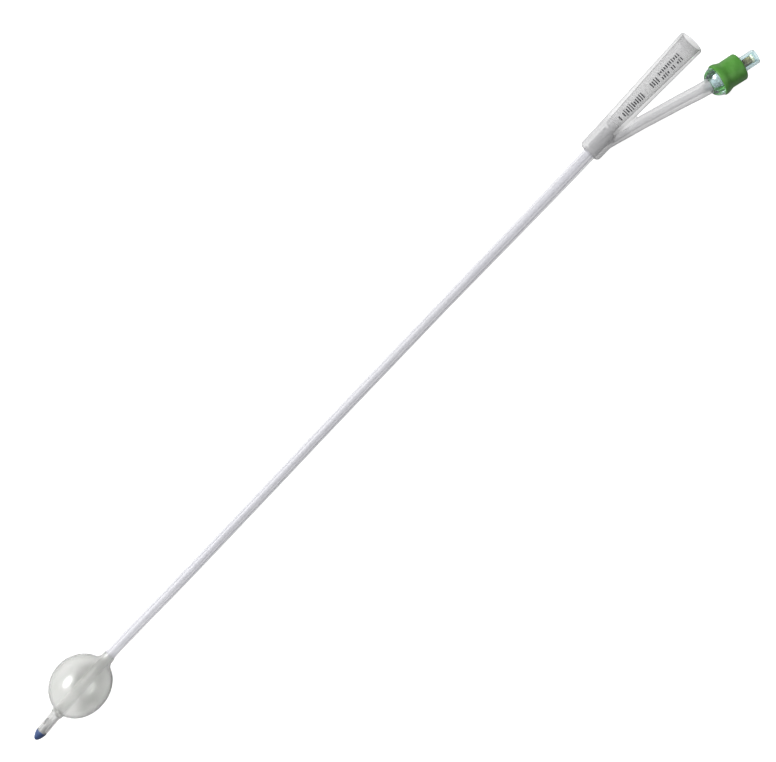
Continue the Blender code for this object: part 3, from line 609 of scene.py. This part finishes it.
balloon = make_balloon()
wear(balloon, balloon_silicone)
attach(balloon, "catheter")
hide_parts("retention_balloon")


# Drainage funnel, boss and inflation arm: one silicone moulding round the end of the shaft. The
# funnel's bore is tapered for a drain connector, and the arm's bore meets the inflation lumen.
FUNNEL_WALL = 0.0010
FUNNEL_RIM_ROUND = 0.00035
FUNNEL_BORE_ROOT_D = 0.0052
SEAT_BORE_D = 0.0030
SEAT_LENGTH = 0.0014
BOSS_ASIDE = 0.00085
BOSS_WIDTH = 0.0101
BOSS_HEIGHT = 0.0079
BOSS_LENGTH = 0.0160
BOSS_STRAIGHT = 0.0085
BOSS_ROUND = 0.0018
ARM_OD = (0.0040, 0.0055, 0.0064)        # at its root, after the flare and at the valve
ARM_FLARE = 0.0180
ARM_BORE_D = 0.0024
ARM_ROOT_BORE_D = 0.0012
ARM_ROOT_BORE_LENGTH = 0.0060
ARM_LAY = [                      # its axis, from inside the boss until it turns to the valve
    (0.13177, 0.00406, 0.00402),
    (0.13563, 0.00316, 0.00408),
    (0.14351, 0.00121, 0.00436),
    (0.15020, -0.00074, 0.00496),
    (0.15760, -0.00319, 0.00566),
    (0.16350, -0.00519, 0.00626),
    (0.16958, -0.00722, 0.00676),
]
ARM_LEAN = ((0.0096, 0.0003), (0.0055, 0.00005))         # before the valve, and off its axis
VALVE_AT = Vector((0.184390, -0.011836, 0.006751))       # inside the sleeve's lip
VALVE_HEADING = math.radians(-13.9)
VALVE_PITCH = math.radians(3)    # nose down
ARM_SOCKET_FLOOR = 0.0015        # the valve's socket for the arm ends here, past that place
BARB_D = 0.0035
BARB_ROOM = 0.0090               # the arm's bore is wider over the valve's barb
BARB_ROOM_STEP = 0.001           # length of the step up to that width
ARM_BORE_START = 0.0015
ROOT_BORE_STEP = 0.002           # length of the step from the root's narrow bore
BORE_ROUND = 0.0012              # at the foot of the funnel's bore
SEAT_OVERLAP = 0.001             # of the seat's cutter into the bore
SOCKET_ROOM = 0.00006            # round the shaft
BOSS_BLEND = 0.003               # the cloudier boss fades this far to each side of its end
ARM_ZONE = (0.0004, 0.0015)      # the arm's look sets in between these, outside the root's radius
MOUTH_ZONE = (0.004, 0.002)      # the mouth's sets in between these, before the rim
MOULDING_GRAIN = 0.00030         # the mesh's cells where the three forms melt together


def valve_matrix():
    axis = Vector((
        math.cos(VALVE_PITCH) * math.cos(VALVE_HEADING),
        math.cos(VALVE_PITCH) * math.sin(VALVE_HEADING),
        -math.sin(VALVE_PITCH),
    ))
    aside = Vector((0, 0, 1)).cross(axis).normalized()
    turn = Matrix((aside, axis.cross(aside), axis)).transposed().to_4x4()
    return Matrix.Translation(VALVE_AT) @ turn


def make_arm_lay():
    """What the arm's axis runs through, from inside the boss to the floor of the valve's socket."""
    valve = valve_matrix()
    lay = [Vector(point) for point in ARM_LAY]
    lay += [valve @ Vector((aside, 0, -before)) for before, aside in ARM_LEAN]
    lay.append(valve @ Vector((0, 0, ARM_SOCKET_FLOOR - FIT)))
    return rounded(lay)


def make_moulding():
    axis = funnel_matrix()
    root, mouth = FUNNEL_ROOT_OD / 2, FUNNEL_MOUTH_OD / 2
    rim = (mouth - FUNNEL_RIM_ROUND, FUNNEL_LENGTH - FUNNEL_RIM_ROUND)
    outline = [
        (0, FUNNEL_LENGTH),
        *arc(rim, (FUNNEL_RIM_ROUND, FUNNEL_RIM_ROUND), 90, 0, 6),
        *arc((root - BOSS_ROUND, BOSS_ROUND), (BOSS_ROUND, BOSS_ROUND), 0, -90, 10),
        (0, 0),
    ]
    moulding = turned("funnel_and_arm", outline, axis)
    width = BOSS_WIDTH / 2
    outline = [
        *arc((0, BOSS_STRAIGHT), (width, BOSS_LENGTH - BOSS_STRAIGHT), 90, 0, 16),
        *arc((width - BOSS_ROUND, BOSS_ROUND), (BOSS_ROUND, BOSS_ROUND), 0, -90, 8),
        (0, 0),
    ]
    outline[0] = (0, BOSS_LENGTH)
    squash = Matrix.Translation((BOSS_ASIDE, 0, 0)) @ Matrix.Diagonal((1, BOSS_HEIGHT / BOSS_WIDTH, 1, 1))
    boss = turned("boss", outline, axis @ squash, 80)
    run = np.linspace(0, arm_path.length, 90)
    swell = np.clip(run / ARM_FLARE, 0, 1)
    late = np.clip((run - ARM_FLARE) / (arm_path.length - ARM_FLARE), 0, 1)
    widening = swell * swell * (3 - 2 * swell)
    girths = ARM_OD[0] + (ARM_OD[1] - ARM_OD[0]) * widening + (ARM_OD[2] - ARM_OD[1]) * late
    arm = swept("arm", arm_path.at(run), girths / 2, 48, moulded_silicone)
    combine(moulding, [boss, arm], "UNION")
    cells = moulding.modifiers.new("cells", "REMESH")
    cells.mode = "VOXEL"
    cells.voxel_size = MOULDING_GRAIN
    soften = moulding.modifiers.new("soften", "SMOOTH")
    soften.factor = 0.5
    soften.iterations = 9
    plain(moulding, 180)

    bore_start = SOCKET_DEPTH + SEAT_LENGTH
    bore_root = FUNNEL_BORE_ROOT_D / 2
    outline = [
        (0, FUNNEL_LENGTH + CUT),
        (mouth - FUNNEL_WALL, FUNNEL_LENGTH + CUT),
        (mouth - FUNNEL_WALL, FUNNEL_LENGTH),
        *arc((bore_root - BORE_ROUND, bore_start + BORE_ROUND), (BORE_ROUND, BORE_ROUND), 0, -90, 8),
        (0, bore_start),
    ]
    bore = turned("bore", outline, axis, 72)
    socket = SHAFT_ROOT_OD / 2 + SOCKET_ROOM
    outline = [
        (0, bore_start + SEAT_OVERLAP),
        (SEAT_BORE_D / 2, bore_start + SEAT_OVERLAP),
        (SEAT_BORE_D / 2, SOCKET_DEPTH),
        (socket, SOCKET_DEPTH),
        (socket, -CUT),
        (0, -CUT),
    ]
    socket = turned("socket", outline, axis @ Matrix.Translation((SHAFT_ASIDE, 0, 0)), 56)
    run = np.linspace(ARM_BORE_START, arm_path.length + CUT, 80)
    wide = np.clip((run - arm_path.length + BARB_ROOM) / BARB_ROOM_STEP, 0, 1)
    begun = np.clip((run - ARM_ROOT_BORE_LENGTH) / ROOT_BORE_STEP, 0, 1)
    bores = ARM_ROOT_BORE_D + (ARM_BORE_D - ARM_ROOT_BORE_D) * begun + (BARB_D - ARM_BORE_D) * wide
    arm_bore = swept("arm_bore", arm_path.at(run), bores / 2, 28, moulded_silicone)
    return combine(moulding, [bore, socket, arm_bore])


paint = Paint("moulded_silicone")
cloud = paint.noise(0.014)
past_root = paint.coordinate("X") - FUNNEL_AT.x
boss = 1 - past_root.between(BOSS_LENGTH - BOSS_BLEND, BOSS_LENGTH + BOSS_BLEND)
from_axis = FUNNEL_AT.y - paint.coordinate("Y") - past_root * FUNNEL_TAPER
past_side = [FUNNEL_ROOT_OD / 2 + edge for edge in ARM_ZONE]
arm = from_axis.between(*past_side) * (1 - boss)
thin_wall = paint.blend(cloud.between(0.3, 0.7), (0.30, 0.30, 0.31), (0.34, 0.34, 0.34))
mouth = past_root.between(*[FUNNEL_LENGTH - edge for edge in MOUTH_ZONE])
moulded_silicone = paint.finish({
    "Base Color": paint.blend(boss, paint.blend(arm, thin_wall, (0.54, 0.54, 0.55)), (0.46, 0.46, 0.47)),
    "Roughness": 0.22 + 0.12 * paint.noise(0.004),
    "Normal": paint.relief(paint.noise(0.006, detail=1.0), 0.00001),
    "Alpha": 0.25 + 0.24 * boss + 0.20 * arm + 0.10 * mouth + 0.45 * paint.rim() ** 3,
    "IOR": 1.41,
})

arm_path = Path(make_arm_lay())
moulding = make_moulding()
wear(moulding, moulded_silicone)
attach(moulding, "catheter")
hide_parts("drainage_funnel")


# Marks on the funnel: rows of small plain bars in dark silicone ink, printed on its upper side.
MARK_PITCH = 0.00105
MARK_WIDTH = 0.00058
MARK_ROWS = (                    # count, start from the funnel's root, aside towards the arm, height
    (21, 0.0182, 0.0006, 0.0030),
    (11, 0.0412, -0.0005, 0.0017),
    (11, 0.0412, 0.0018, 0.0017),
)
MARK_WIDTHS = (0.6, 1.2)         # by chance, a bar's width is this share of the usual
MARK_HEIGHTS = (1.2, 0.5)        # and its height, so that the tall bars are narrow
MARKS_LEFT_OUT = 0.16            # share of the bars
MARK_INK = 0.00002               # the ink's thickness
MARK_SEED = 4


def marks_tree():
    """Bars in a row, some left out and all of their own height, wrapped on to the funnel's cone."""
    tree, given = geometry_tree("marks", {
        "Count": "Int",
        "Pitch": "Float",
        "Width": "Float",
        "Height": "Float",
        "Start": "Float",
        "Aside": "Float",
        "Root radius": "Float",
        "Taper": "Float",
        "Ink": "Float",
        "Seed": "Int",
        "Material": "Material",
    })
    step = add_node(tree, "ShaderNodeCombineXYZ", inputs={"X": given["Pitch"]})
    row = add_node(tree, "GeometryNodeMeshLine", inputs={"Count": given["Count"], "Offset": step.outputs[0]})
    number = Signal(add_node(tree, "GeometryNodeInputIndex").outputs[0])
    limits = {2: 0.0, 3: 1.0, "Seed": given["Seed"], "ID": number}
    chance = Signal(add_node(tree, "FunctionNodeRandomValue", {"data_type": "FLOAT"}, limits).outputs[1])
    kept = chance.maths("GREATER_THAN", chance, MARKS_LEFT_OUT)
    wide, tall = (low + (high - low) * chance for low, high in (MARK_WIDTHS, MARK_HEIGHTS))
    scale = add_node(tree, "ShaderNodeCombineXYZ", inputs={"X": wide, "Y": tall, "Z": 1.0})
    usual = {"X": given["Width"], "Y": given["Height"], "Z": given["Ink"]}
    size = add_node(tree, "ShaderNodeCombineXYZ", inputs=usual)
    bar = add_node(tree, "GeometryNodeMeshCube", inputs={"Size": size.outputs[0], "Vertices Y": 8})
    bars = add_node(tree, "GeometryNodeInstanceOnPoints", inputs={
        "Points": row.outputs[0],
        "Selection": kept,
        "Instance": bar.outputs[0],
        "Scale": scale.outputs[0],
    })
    whole = add_node(tree, "GeometryNodeRealizeInstances", inputs={"Geometry": bars.outputs[0]})
    position = add_node(tree, "GeometryNodeInputPosition").outputs[0]
    flat = add_node(tree, "ShaderNodeSeparateXYZ", inputs={0: position})
    along, across, lift = (Signal(flat.outputs[k]) for k in range(3))
    reach = along + Signal(given["Start"])
    radius = Signal(given["Root radius"]) + reach * Signal(given["Taper"]) + lift + Signal(given["Ink"])
    turn = (across + Signal(given["Aside"])) / radius
    cone = {"X": radius * turn.wave("SINE"), "Y": radius * turn.wave("COSINE") * -1, "Z": reach}
    place = add_node(tree, "ShaderNodeCombineXYZ", inputs=cone)
    wrapped = add_node(tree, "GeometryNodeSetPosition", inputs={
        "Geometry": whole.outputs[0],
        "Position": place.outputs[0],
    })
    return end_tree(tree, wrapped.outputs[0], given["Material"])


paint = Paint("marking_ink")
worn = paint.noise(0.0007, detail=3.0)
marking_ink = paint.finish({
    "Base Color": paint.blend(worn.between(0.35, 0.75), (0.03, 0.03, 0.035), (0.10, 0.10, 0.105)),
    "Roughness": 0.42 + 0.2 * worn,
})

marks_on_cone = marks_tree()
for row, (count, start, aside, height) in enumerate(MARK_ROWS):
    marks = mesh_object(f"funnel_marks_{row + 1}", [(0, 0, 0)])
    run_tree(marks, marks_on_cone, {
        "Count": count,
        "Pitch": MARK_PITCH,
        "Width": MARK_WIDTH,
        "Height": height,
        "Start": start,
        "Aside": aside,
        "Root radius": FUNNEL_ROOT_OD / 2,
        "Taper": FUNNEL_TAPER,
        "Ink": MARK_INK,
        "Seed": MARK_SEED + row,
        "Material": marking_ink,
    })
    marks.data.transform(funnel_matrix())
    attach(marks, "catheter")


# Valve sleeve: a moulded green sleeve with a flared lip. It is pushed over the valve's two clear
# halves and holds them together.
SLEEVE_LENGTH = 0.0107
LIP_REACH = 0.0004               # the lip's end, towards the arm from the valve's origin
LIP_OD = 0.0134
LIP_ROUND = 0.00045
WAIST_OD = 0.0115
BARREL_OD = 0.0117
SLEEVE_BORE_D = 0.0095
SLEEVE_END_WALL = 0.0011
SLEEVE_SHOULDER = 0.0010
FLARE_LENGTH = 0.0036
SEAT_FLARE_LENGTH = 0.0029
NOSE_OD = 0.0063
NOSE_LENGTH = 0.0072
DOME_OD = 0.0116
SNUG = 0.00004                   # between pieces that touch


def flare(radius_out, radius_in, start, length, count):
    share = np.linspace(0, 1, count + 1)
    radii = radius_out + (radius_in - radius_out) * (1 - np.cos(math.pi * share)) / 2
    return list(zip(radii.tolist(), (start + length * share).tolist()))


def make_sleeve():
    lip, waist, barrel = LIP_OD / 2, WAIST_OD / 2, BARREL_OD / 2
    bore, hole, mouth = SLEEVE_BORE_D / 2, NOSE_OD / 2 + SNUG, DOME_OD / 2 + SNUG
    shoulder = (barrel - SLEEVE_SHOULDER, SLEEVE_LENGTH - SLEEVE_SHOULDER)
    outline = [
        (hole, SLEEVE_LENGTH),
        *arc(shoulder, (SLEEVE_SHOULDER, SLEEVE_SHOULDER), 90, 0, 10),
        *reversed(flare(lip, waist, 2 * LIP_ROUND - LIP_REACH, FLARE_LENGTH, 20)),
        *arc((lip - LIP_ROUND, LIP_ROUND - LIP_REACH), (LIP_ROUND, LIP_ROUND), 0, -90, 6),
        (mouth, -LIP_REACH),
        *flare(mouth, bore, LIP_ROUND, SEAT_FLARE_LENGTH, 14),
        (bore, SLEEVE_LENGTH - SLEEVE_END_WALL),
        (hole, SLEEVE_LENGTH - SLEEVE_END_WALL),
    ]
    return turned("sleeve", outline, valve_matrix(), 128, 0.00012)


paint = Paint("green_plastic")
cloud = paint.noise(0.0028)
fine = paint.noise(0.0003)
green_plastic = paint.finish({
    "Base Color": paint.blend(cloud.between(0.3, 0.7), (0.06, 0.22, 0.03), (0.085, 0.27, 0.045)),
    "Roughness": 0.26 + 0.2 * cloud,
    "Normal": paint.relief(fine, 0.00001),
    "IOR": 1.49,
})

sleeve = make_sleeve()
wear(sleeve, green_plastic)
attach(sleeve, "catheter")
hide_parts("valve_sleeve")


# Valve halves: the clear base is a dome over the arm's end, with a barbed spigot inside the arm and
# a cup for the spring. The clear body has the luer nose and the seal's chamber and seat.
REGISTER_D = 0.0074
SKIRT_DEPTH = 0.0012
BASE_TOP = 0.0060
DOME_LENGTH = 0.0042
DOME_RIM_OD = 0.0124             # against the lip's end
DOME_TAPER = 1.3                 # 1 makes its outline an ellipse, 2 a cone
SPIGOT_D = 0.0029
BARB_REACH = 0.0065
BARB_LENGTH = 0.0020
BASE_BORE_D = 0.0012
SPRING_CUP_FLOOR = 0.0026
SPRING_CUP_D = 0.0040
COLLAR_CUP_D = 0.0052
COLLAR_CUP_FLOOR = 0.0050
LUER_MOUTH_D = 0.0043
LUER_TAPER = 0.06
LUER_LIP = 0.0003
HOUSING_WALL = 0.00125
HOUSING_FIT = 0.0003
SEAT_DEPTH = 0.0010
SEAT_RISE = 0.96


def make_base():
    dome, body = DOME_OD / 2, SLEEVE_BORE_D / 2 - SNUG
    socket = ARM_OD[2] / 2 + SNUG
    rim, mouth = DOME_RIM_OD / 2, socket + 0.00045
    rim_face = -LIP_REACH - SNUG
    bell = []
    for turn in np.linspace(0, math.pi / 2, 19).tolist():
        radius = mouth + (rim - mouth) * math.cos(turn) ** DOME_TAPER
        bell.append((radius, rim_face - (DOME_LENGTH + rim_face) * math.sin(turn) ** DOME_TAPER))
    outline = [
        (COLLAR_CUP_D / 2, BASE_TOP),
        (REGISTER_D / 2, BASE_TOP),
        (REGISTER_D / 2, BASE_TOP - SKIRT_DEPTH),
        (body, BASE_TOP - SKIRT_DEPTH),
        *reversed(flare(dome, body, LIP_ROUND, SEAT_FLARE_LENGTH, 14)),
        (dome, rim_face),
        *bell,
        (socket, -DOME_LENGTH),
        (socket, ARM_SOCKET_FLOOR),
        (SPIGOT_D / 2, ARM_SOCKET_FLOOR),
        (SPIGOT_D / 2, BARB_LENGTH - BARB_REACH + 0.0003),
        (BARB_D / 2, BARB_LENGTH - BARB_REACH),
        (BASE_BORE_D / 2 + 0.0003, -BARB_REACH),
        (BASE_BORE_D / 2, -BARB_REACH),
        (BASE_BORE_D / 2, SPRING_CUP_FLOOR),
        (SPRING_CUP_D / 2, SPRING_CUP_FLOOR),
        (SPRING_CUP_D / 2, COLLAR_CUP_FLOOR),
        (COLLAR_CUP_D / 2, COLLAR_CUP_FLOOR),
    ]
    return turned("base", outline, valve_matrix(), 96, 0.00008)


def luer_radius(height):
    return LUER_MOUTH_D / 2 - (SLEEVE_LENGTH + NOSE_LENGTH - height) * LUER_TAPER / 2


def make_body():
    nose, end = NOSE_OD / 2, SLEEVE_LENGTH + NOSE_LENGTH
    body = SLEEVE_BORE_D / 2 - SNUG
    skirt = REGISTER_D / 2 + SNUG
    chamber = SLEEVE_BORE_D / 2 - HOUSING_WALL - HOUSING_FIT
    top = SLEEVE_LENGTH - SLEEVE_END_WALL - SNUG
    throat = luer_radius(top)
    seat = top - SEAT_DEPTH
    outline = [
        *arc((LUER_MOUTH_D / 2 + LUER_LIP, end - LUER_LIP), (LUER_LIP, LUER_LIP), 180, 90, 6),
        *arc((nose - LUER_LIP, end - LUER_LIP), (LUER_LIP, LUER_LIP), 90, 0, 6),
        (nose, top),
        (body, top),
        (body, BASE_TOP - SKIRT_DEPTH + SNUG),
        (skirt, BASE_TOP - SKIRT_DEPTH + SNUG),
        (skirt, BASE_TOP + SNUG),
        (chamber, BASE_TOP + SNUG),
        (chamber, seat),
        (throat, seat + (chamber - throat) * SEAT_RISE),
    ]
    return turned("body", outline, valve_matrix(), 96, 0.00008)


paint = Paint("clear_plastic")
cloud = paint.noise(0.002)
clear_plastic = paint.finish({
    "Base Color": paint.blend(cloud, (0.66, 0.84, 0.86), (0.80, 0.92, 0.94)),
    "Roughness": 0.02 + 0.08 * cloud,
    "Transmission Weight": 0.97,
    "IOR": 1.52,
})

# The halves cast no shadow, so that light gets in, as it does through real clear plastic
for name, clear_half in (("valve_base", make_base()), ("valve_body", make_body())):
    wear(clear_half, clear_plastic)
    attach(clear_half, "catheter")
    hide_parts(name)
    clear_half.visible_shadow = False


# Plunger: a moulded cream stem with a head that a syringe pushes in and a collar that the spring
# pushes back.
PLUNGER_STEM_D = 0.0015
PLUNGER_HEAD = (0.0153, 0.0163)  # heights of its underside and its top, from the sleeve's lip
PLUNGER_COLLAR = (0.00646, 0.00716)
PLUNGER_COLLAR_D = 0.0046
PLUNGER_TAIL = 0.0048


def make_plunger():
    stem, collar = PLUNGER_STEM_D / 2, PLUNGER_COLLAR_D / 2
    head = luer_radius(PLUNGER_HEAD[0]) - HOUSING_FIT
    outline = [
        (0, PLUNGER_HEAD[1]),
        *arc((head - 0.0003, PLUNGER_HEAD[1] - 0.0003), (0.0003, 0.0003), 90, 0, 5),
        (head, PLUNGER_HEAD[0]),
        (stem, PLUNGER_HEAD[0]),
        (stem, PLUNGER_COLLAR[1]),
        (collar, PLUNGER_COLLAR[1]),
        (collar, PLUNGER_COLLAR[0]),
        (stem, PLUNGER_COLLAR[0]),
        *arc((stem - 0.0002, PLUNGER_TAIL + 0.0002), (0.0002, 0.0002), 0, -90, 4),
        (0, PLUNGER_TAIL),
    ]
    return turned("plunger", outline, valve_matrix(), 64, 0.00006)


paint = Paint("cream_plastic")
cloud = paint.noise(0.0011)
cream_plastic = paint.finish({
    "Base Color": paint.blend(cloud.between(0.3, 0.7), (0.60, 0.55, 0.38), (0.72, 0.67, 0.50)),
    "Roughness": 0.3 + 0.2 * cloud,
})

plunger = make_plunger()
wear(plunger, cream_plastic)
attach(plunger, "plunger")
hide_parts("valve_plunger")


# Seal: an olive rubber sleeve round the plunger's stem, whose cone closes on the body's seat.
SEAL = (0.00746, 0.0150)         # its two ends, from the sleeve's lip
SEAL_FLANGE = 0.0007


def make_seal():
    bore = PLUNGER_STEM_D / 2 + SNUG
    throat = luer_radius(SLEEVE_LENGTH - SLEEVE_END_WALL) - HOUSING_FIT
    flange = SLEEVE_BORE_D / 2 - HOUSING_WALL - 2 * HOUSING_FIT
    rise = (flange - throat) * SEAT_RISE
    outline = [
        (bore, SEAL[1]),
        *arc((throat - 0.0003, SEAL[1] - 0.0003), (0.0003, 0.0003), 90, 0, 5),
        (throat, SEAL[0] + SEAL_FLANGE + rise),
        (flange, SEAL[0] + SEAL_FLANGE),
        (flange, SEAL[0]),
        (bore, SEAL[0]),
    ]
    return turned("seal", outline, valve_matrix(), 64, 0.00008)


paint = Paint("olive_rubber")
cloud = paint.noise(0.0011)
olive_rubber = paint.finish({
    "Base Color": paint.blend(cloud.between(0.3, 0.7), (0.15, 0.11, 0.03), (0.23, 0.18, 0.07)),
    "Roughness": 0.42 + 0.25 * cloud,
})

seal = make_seal()
wear(seal, olive_rubber)
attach(seal, "plunger")
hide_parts("plunger_seal")


# Spring: a coil of drawn stainless wire between the base's cup and the plunger's collar.
SPRING_WIRE_D = 0.0003
SPRING_MEAN_D = 0.0029
SPRING_TURNS = 4
SPRING_ENDS = (0.00305, 0.0063)


def spring_tree():
    tree, given = geometry_tree("coil", {
        "Turns": "Float",
        "Radius": "Float",
        "Height": "Float",
        "Wire radius": "Float",
        "Material": "Material",
    })
    coil = add_node(tree, "GeometryNodeCurveSpiral", inputs={
        "Resolution": 40,
        "Rotations": given["Turns"],
        "Start Radius": given["Radius"],
        "End Radius": given["Radius"],
        "Height": given["Height"],
    })
    ring = add_node(tree, "GeometryNodeCurvePrimitiveCircle", inputs={
        "Resolution": 10,
        "Radius": given["Wire radius"],
    })
    wire = add_node(tree, "GeometryNodeCurveToMesh", inputs={
        "Curve": coil.outputs[0],
        "Profile Curve": ring.outputs[0],
        "Fill Caps": True,
    })
    return end_tree(tree, wire.outputs[0], given["Material"])


paint = Paint("spring_steel")
drawn = paint.noise(0.0003)
spring_steel = paint.finish({
    "Base Color": (0.62, 0.63, 0.65, 1.0),
    "Roughness": 0.15 + 0.2 * drawn,
    "Metallic": 1.0,
})

spring = mesh_object("spring", [(0, 0, 0)])
run_tree(spring, spring_tree(), {
    "Turns": float(SPRING_TURNS),
    "Radius": SPRING_MEAN_D / 2,
    "Height": SPRING_ENDS[1] - SPRING_ENDS[0],
    "Wire radius": SPRING_WIRE_D / 2,
    "Material": spring_steel,
})
spring.data.transform(valve_matrix() @ Matrix.Translation((0, 0, SPRING_ENDS[0])))
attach(spring, "catheter")
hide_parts("valve_spring")
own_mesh(spring)


# Floor and light: a white table under one large soft light, high on the side away from the arm,
# with a faint fill from the other side. The table also gives off light to the camera and through
# clear pieces, so that hardly a shadow shows, as in a catalogue picture.
TABLE_SIZE = 3.0
TABLE_TO_CAMERA = 0.95
TABLE_THROUGH_CLEAR = 0.40
KEY_PLACE = (-0.27, 0.88, 0.92)
KEY_SIZE = (0.8, 0.55)
KEY_POWER = 24
FILL_PLACE = (0.75, -0.75, 0.9)
FILL_SIZE = (0.6, 0.6)
FILL_POWER = 1

corners = [(x * TABLE_SIZE, y * TABLE_SIZE, -0.0002) for x, y in ((-1, -1), (1, -1), (1, 1), (-1, 1))]
floor = mesh_object("floor", corners, faces=[(0, 1, 2, 3)])
paint = Paint("white_table")
rays = add_node(paint.tree, "ShaderNodeLightPath").outputs
seen, through = Signal(rays["Is Camera Ray"]), Signal(rays["Is Transmission Ray"])
glow = TABLE_TO_CAMERA * seen + TABLE_THROUGH_CLEAR * through
table = paint.finish({
    "Base Color": (0.45, 0.45, 0.45, 1.0),
    "Roughness": 0.9,
    "Emission Color": paint.blend(glow, (0, 0, 0), (1, 1, 1)),
    "Emission Strength": 1.0,
})
wear(floor, table)


def soft_light(name, place, size, power):
    data = bpy.data.lights.new(name, "AREA")
    data.shape = "ELLIPSE"
    data.size, data.size_y = size
    data.energy = power
    light = bpy.data.objects.new(name, data)
    scene.collection.objects.link(light)
    light.location = place
    light.rotation_euler = (-Vector(place)).to_track_quat("-Z", "Y").to_euler()


soft_light("key_light", KEY_PLACE, KEY_SIZE, KEY_POWER)
soft_light("fill_light", FILL_PLACE, FILL_SIZE, FILL_POWER)

world = bpy.data.worlds.new("studio")
world.use_nodes = True
scene.world = world
direction = add_node(world.node_tree, "ShaderNodeTexCoord").outputs["Generated"]
height = Signal(add_node(world.node_tree, "ShaderNodeSeparateXYZ", inputs={0: direction}).outputs["Z"])
sky = world.node_tree.nodes["Background"]
sky.inputs["Color"].default_value = (1, 1, 1, 1)
world.node_tree.links.new((0.10 + 0.25 * height.between(0.0, 0.9)).socket, sky.inputs["Strength"])

scene.view_settings.view_transform = "Standard"
